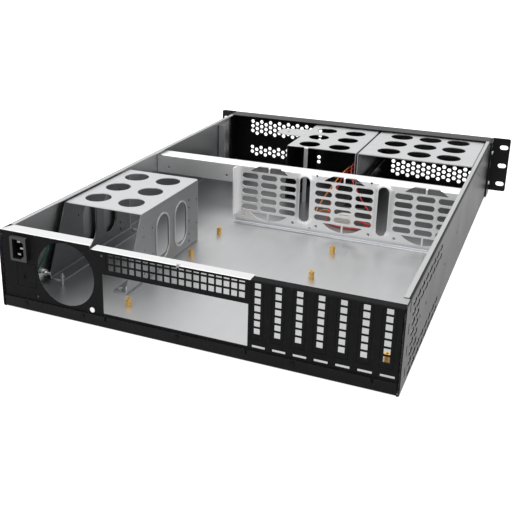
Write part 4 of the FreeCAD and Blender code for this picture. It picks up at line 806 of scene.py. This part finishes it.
class CASE_OT_stage(bpy.types.Operator):
    """Set the floor, the soft light and the camera"""
    bl_idname = "case.stage"
    bl_label = "Stage"

    def execute(self, context):
        studio = context.scene.case_studio
        context.scene.view_settings.view_transform = "Standard"
        self.floor(context)
        self.surround(context, studio)
        self.lamp(context, "Softbox", studio.softbox, SOFTBOX_SIZE, Matrix.Translation(SOFTBOX_AT))
        away = Vector(SIDE_LAMP_AT) - Vector(SIDE_LAMP_AIM)
        turn = away.to_track_quat("Z", "Y").to_matrix().to_4x4()
        self.lamp(context, "Side lamp", studio.side, SIDE_LAMP_SIZE,
                  Matrix.Translation(SIDE_LAMP_AT) @ turn)
        self.camera(context, studio)
        return {"FINISHED"}

    def floor(self, context):
        """A wide pale floor that keeps the case's shadow"""
        mesh = bpy.data.meshes.new("Floor")
        reach, low = FLOOR_REACH, -FLOOR_DROP * MM
        mesh.from_pydata([(-reach, -reach, low), (reach, -reach, low), (reach, reach, low),
                          (-reach, reach, low)], [], [(0, 1, 2, 3)])
        floor = bpy.data.objects.new("Floor", mesh)
        context.scene.collection.objects.link(floor)
        made, tree, shader = new_finish("Floor", Roughness=0.9, Base_Color=(0.80, 0.80, 0.80, 1.0),
                                        Emission_Color=(1.0, 1.0, 1.0, 1.0))
        seen = self.plain_view(tree)
        tree.links.new(math_of(tree, "MULTIPLY", seen, FLOOR_GLOW), shader.inputs["Emission Strength"])
        mesh.materials.append(made)

    def plain_view(self, tree):
        """1 for what the camera sees straight, in metal or through glass, and 0 for light on surfaces"""
        rays = add(tree, "ShaderNodeLightPath").outputs
        seen = math_of(tree, "MAXIMUM", rays["Is Camera Ray"], rays["Is Glossy Ray"])
        return math_of(tree, "MAXIMUM", seen, rays["Is Transmission Ray"])

    def surround(self, context, studio):
        """White all round for the camera and in metal, and a softer light on plain surfaces"""
        world = bpy.data.worlds.new("Studio")
        context.scene.world = world
        world.use_nodes = True
        tree = world.node_tree
        light = tree.nodes["Background"]
        light.inputs["Color"].default_value = (1.0, 1.0, 1.0, 1.0)
        seen = self.plain_view(tree)
        tree.links.new(value_between(tree, seen, studio.surround, 1.0), light.inputs["Strength"])

    def lamp(self, context, name, power, size, placed):
        """A square soft lamp"""
        light = bpy.data.lights.new(name, "AREA")
        light.energy = power
        light.size = size
        lamp = bpy.data.objects.new(name, light)
        lamp.matrix_world = placed
        context.scene.collection.objects.link(lamp)

    def camera(self, context, studio):
        """The camera where the photograph was taken"""
        data = bpy.data.cameras.new("Camera")
        data.lens = studio.lens
        data.sensor_width = SENSOR_WIDTH
        data.shift_x, data.shift_y = studio.shift_x, studio.shift_y
        camera = bpy.data.objects.new("Camera", data)
        context.scene.collection.objects.link(camera)
        forward = Vector(CAMERA_FORWARD).normalized()
        right = Vector(CAMERA_RIGHT)
        right = (right - right.dot(forward) * forward).normalized()
        turn = Matrix((right, right.cross(forward), -forward)).transposed().to_4x4()
        camera.matrix_world = Matrix.Translation(CAMERA_AT) @ turn
        context.scene.camera = camera


class CASE_PT_panel(bpy.types.Panel):
    """Sizes, colours and steps of the case"""
    bl_idname = "CASE_PT_panel"
    bl_label = "Rack case"
    bl_space_type = "VIEW_3D"
    bl_region_type = "UI"
    bl_category = "Case"

    def draw(self, context):
        for step in STEPS:
            self.layout.operator(step.bl_idname)
        for settings in [getattr(context.scene, name) for name in SETTINGS]:
            box = self.layout.box()
            for name in settings.bl_rna.properties.keys():
                if name not in ("rna_type", "name"):
                    box.prop(settings, name)


SETTINGS = {"case_metals": CaseMetals, "case_paints": CasePaints, "case_openings": CaseOpenings,
            "case_leads": CaseLeads, "case_studio": CaseStudio}
STEPS = (CASE_OT_shared_finishes, CASE_OT_tray, CASE_OT_rear_panel, CASE_OT_fan_wall, CASE_OT_cages,
         CASE_OT_front, CASE_OT_inlet, CASE_OT_fasteners, CASE_OT_control_leads, CASE_OT_stage)


def register():
    """Register the settings, the steps and the panel"""
    for made in (*SETTINGS.values(), *STEPS, CASE_PT_panel):
        bpy.utils.register_class(made)
    for name, made in SETTINGS.items():
        setattr(bpy.types.Scene, name, bpy.props.PointerProperty(type=made))


def unregister():
    """Take the settings, the steps and the panel away again"""
    for name in SETTINGS:
        delattr(bpy.types.Scene, name)
    for made in (CASE_PT_panel, *reversed(STEPS), *SETTINGS.values()):
        bpy.utils.unregister_class(made)


def main():
    """Run every step in order"""
    register()
    for step in STEPS:
        family, name = step.bl_idname.split(".")
        getattr(getattr(bpy.ops, family), name)()


if __name__ == "__main__":
    main()
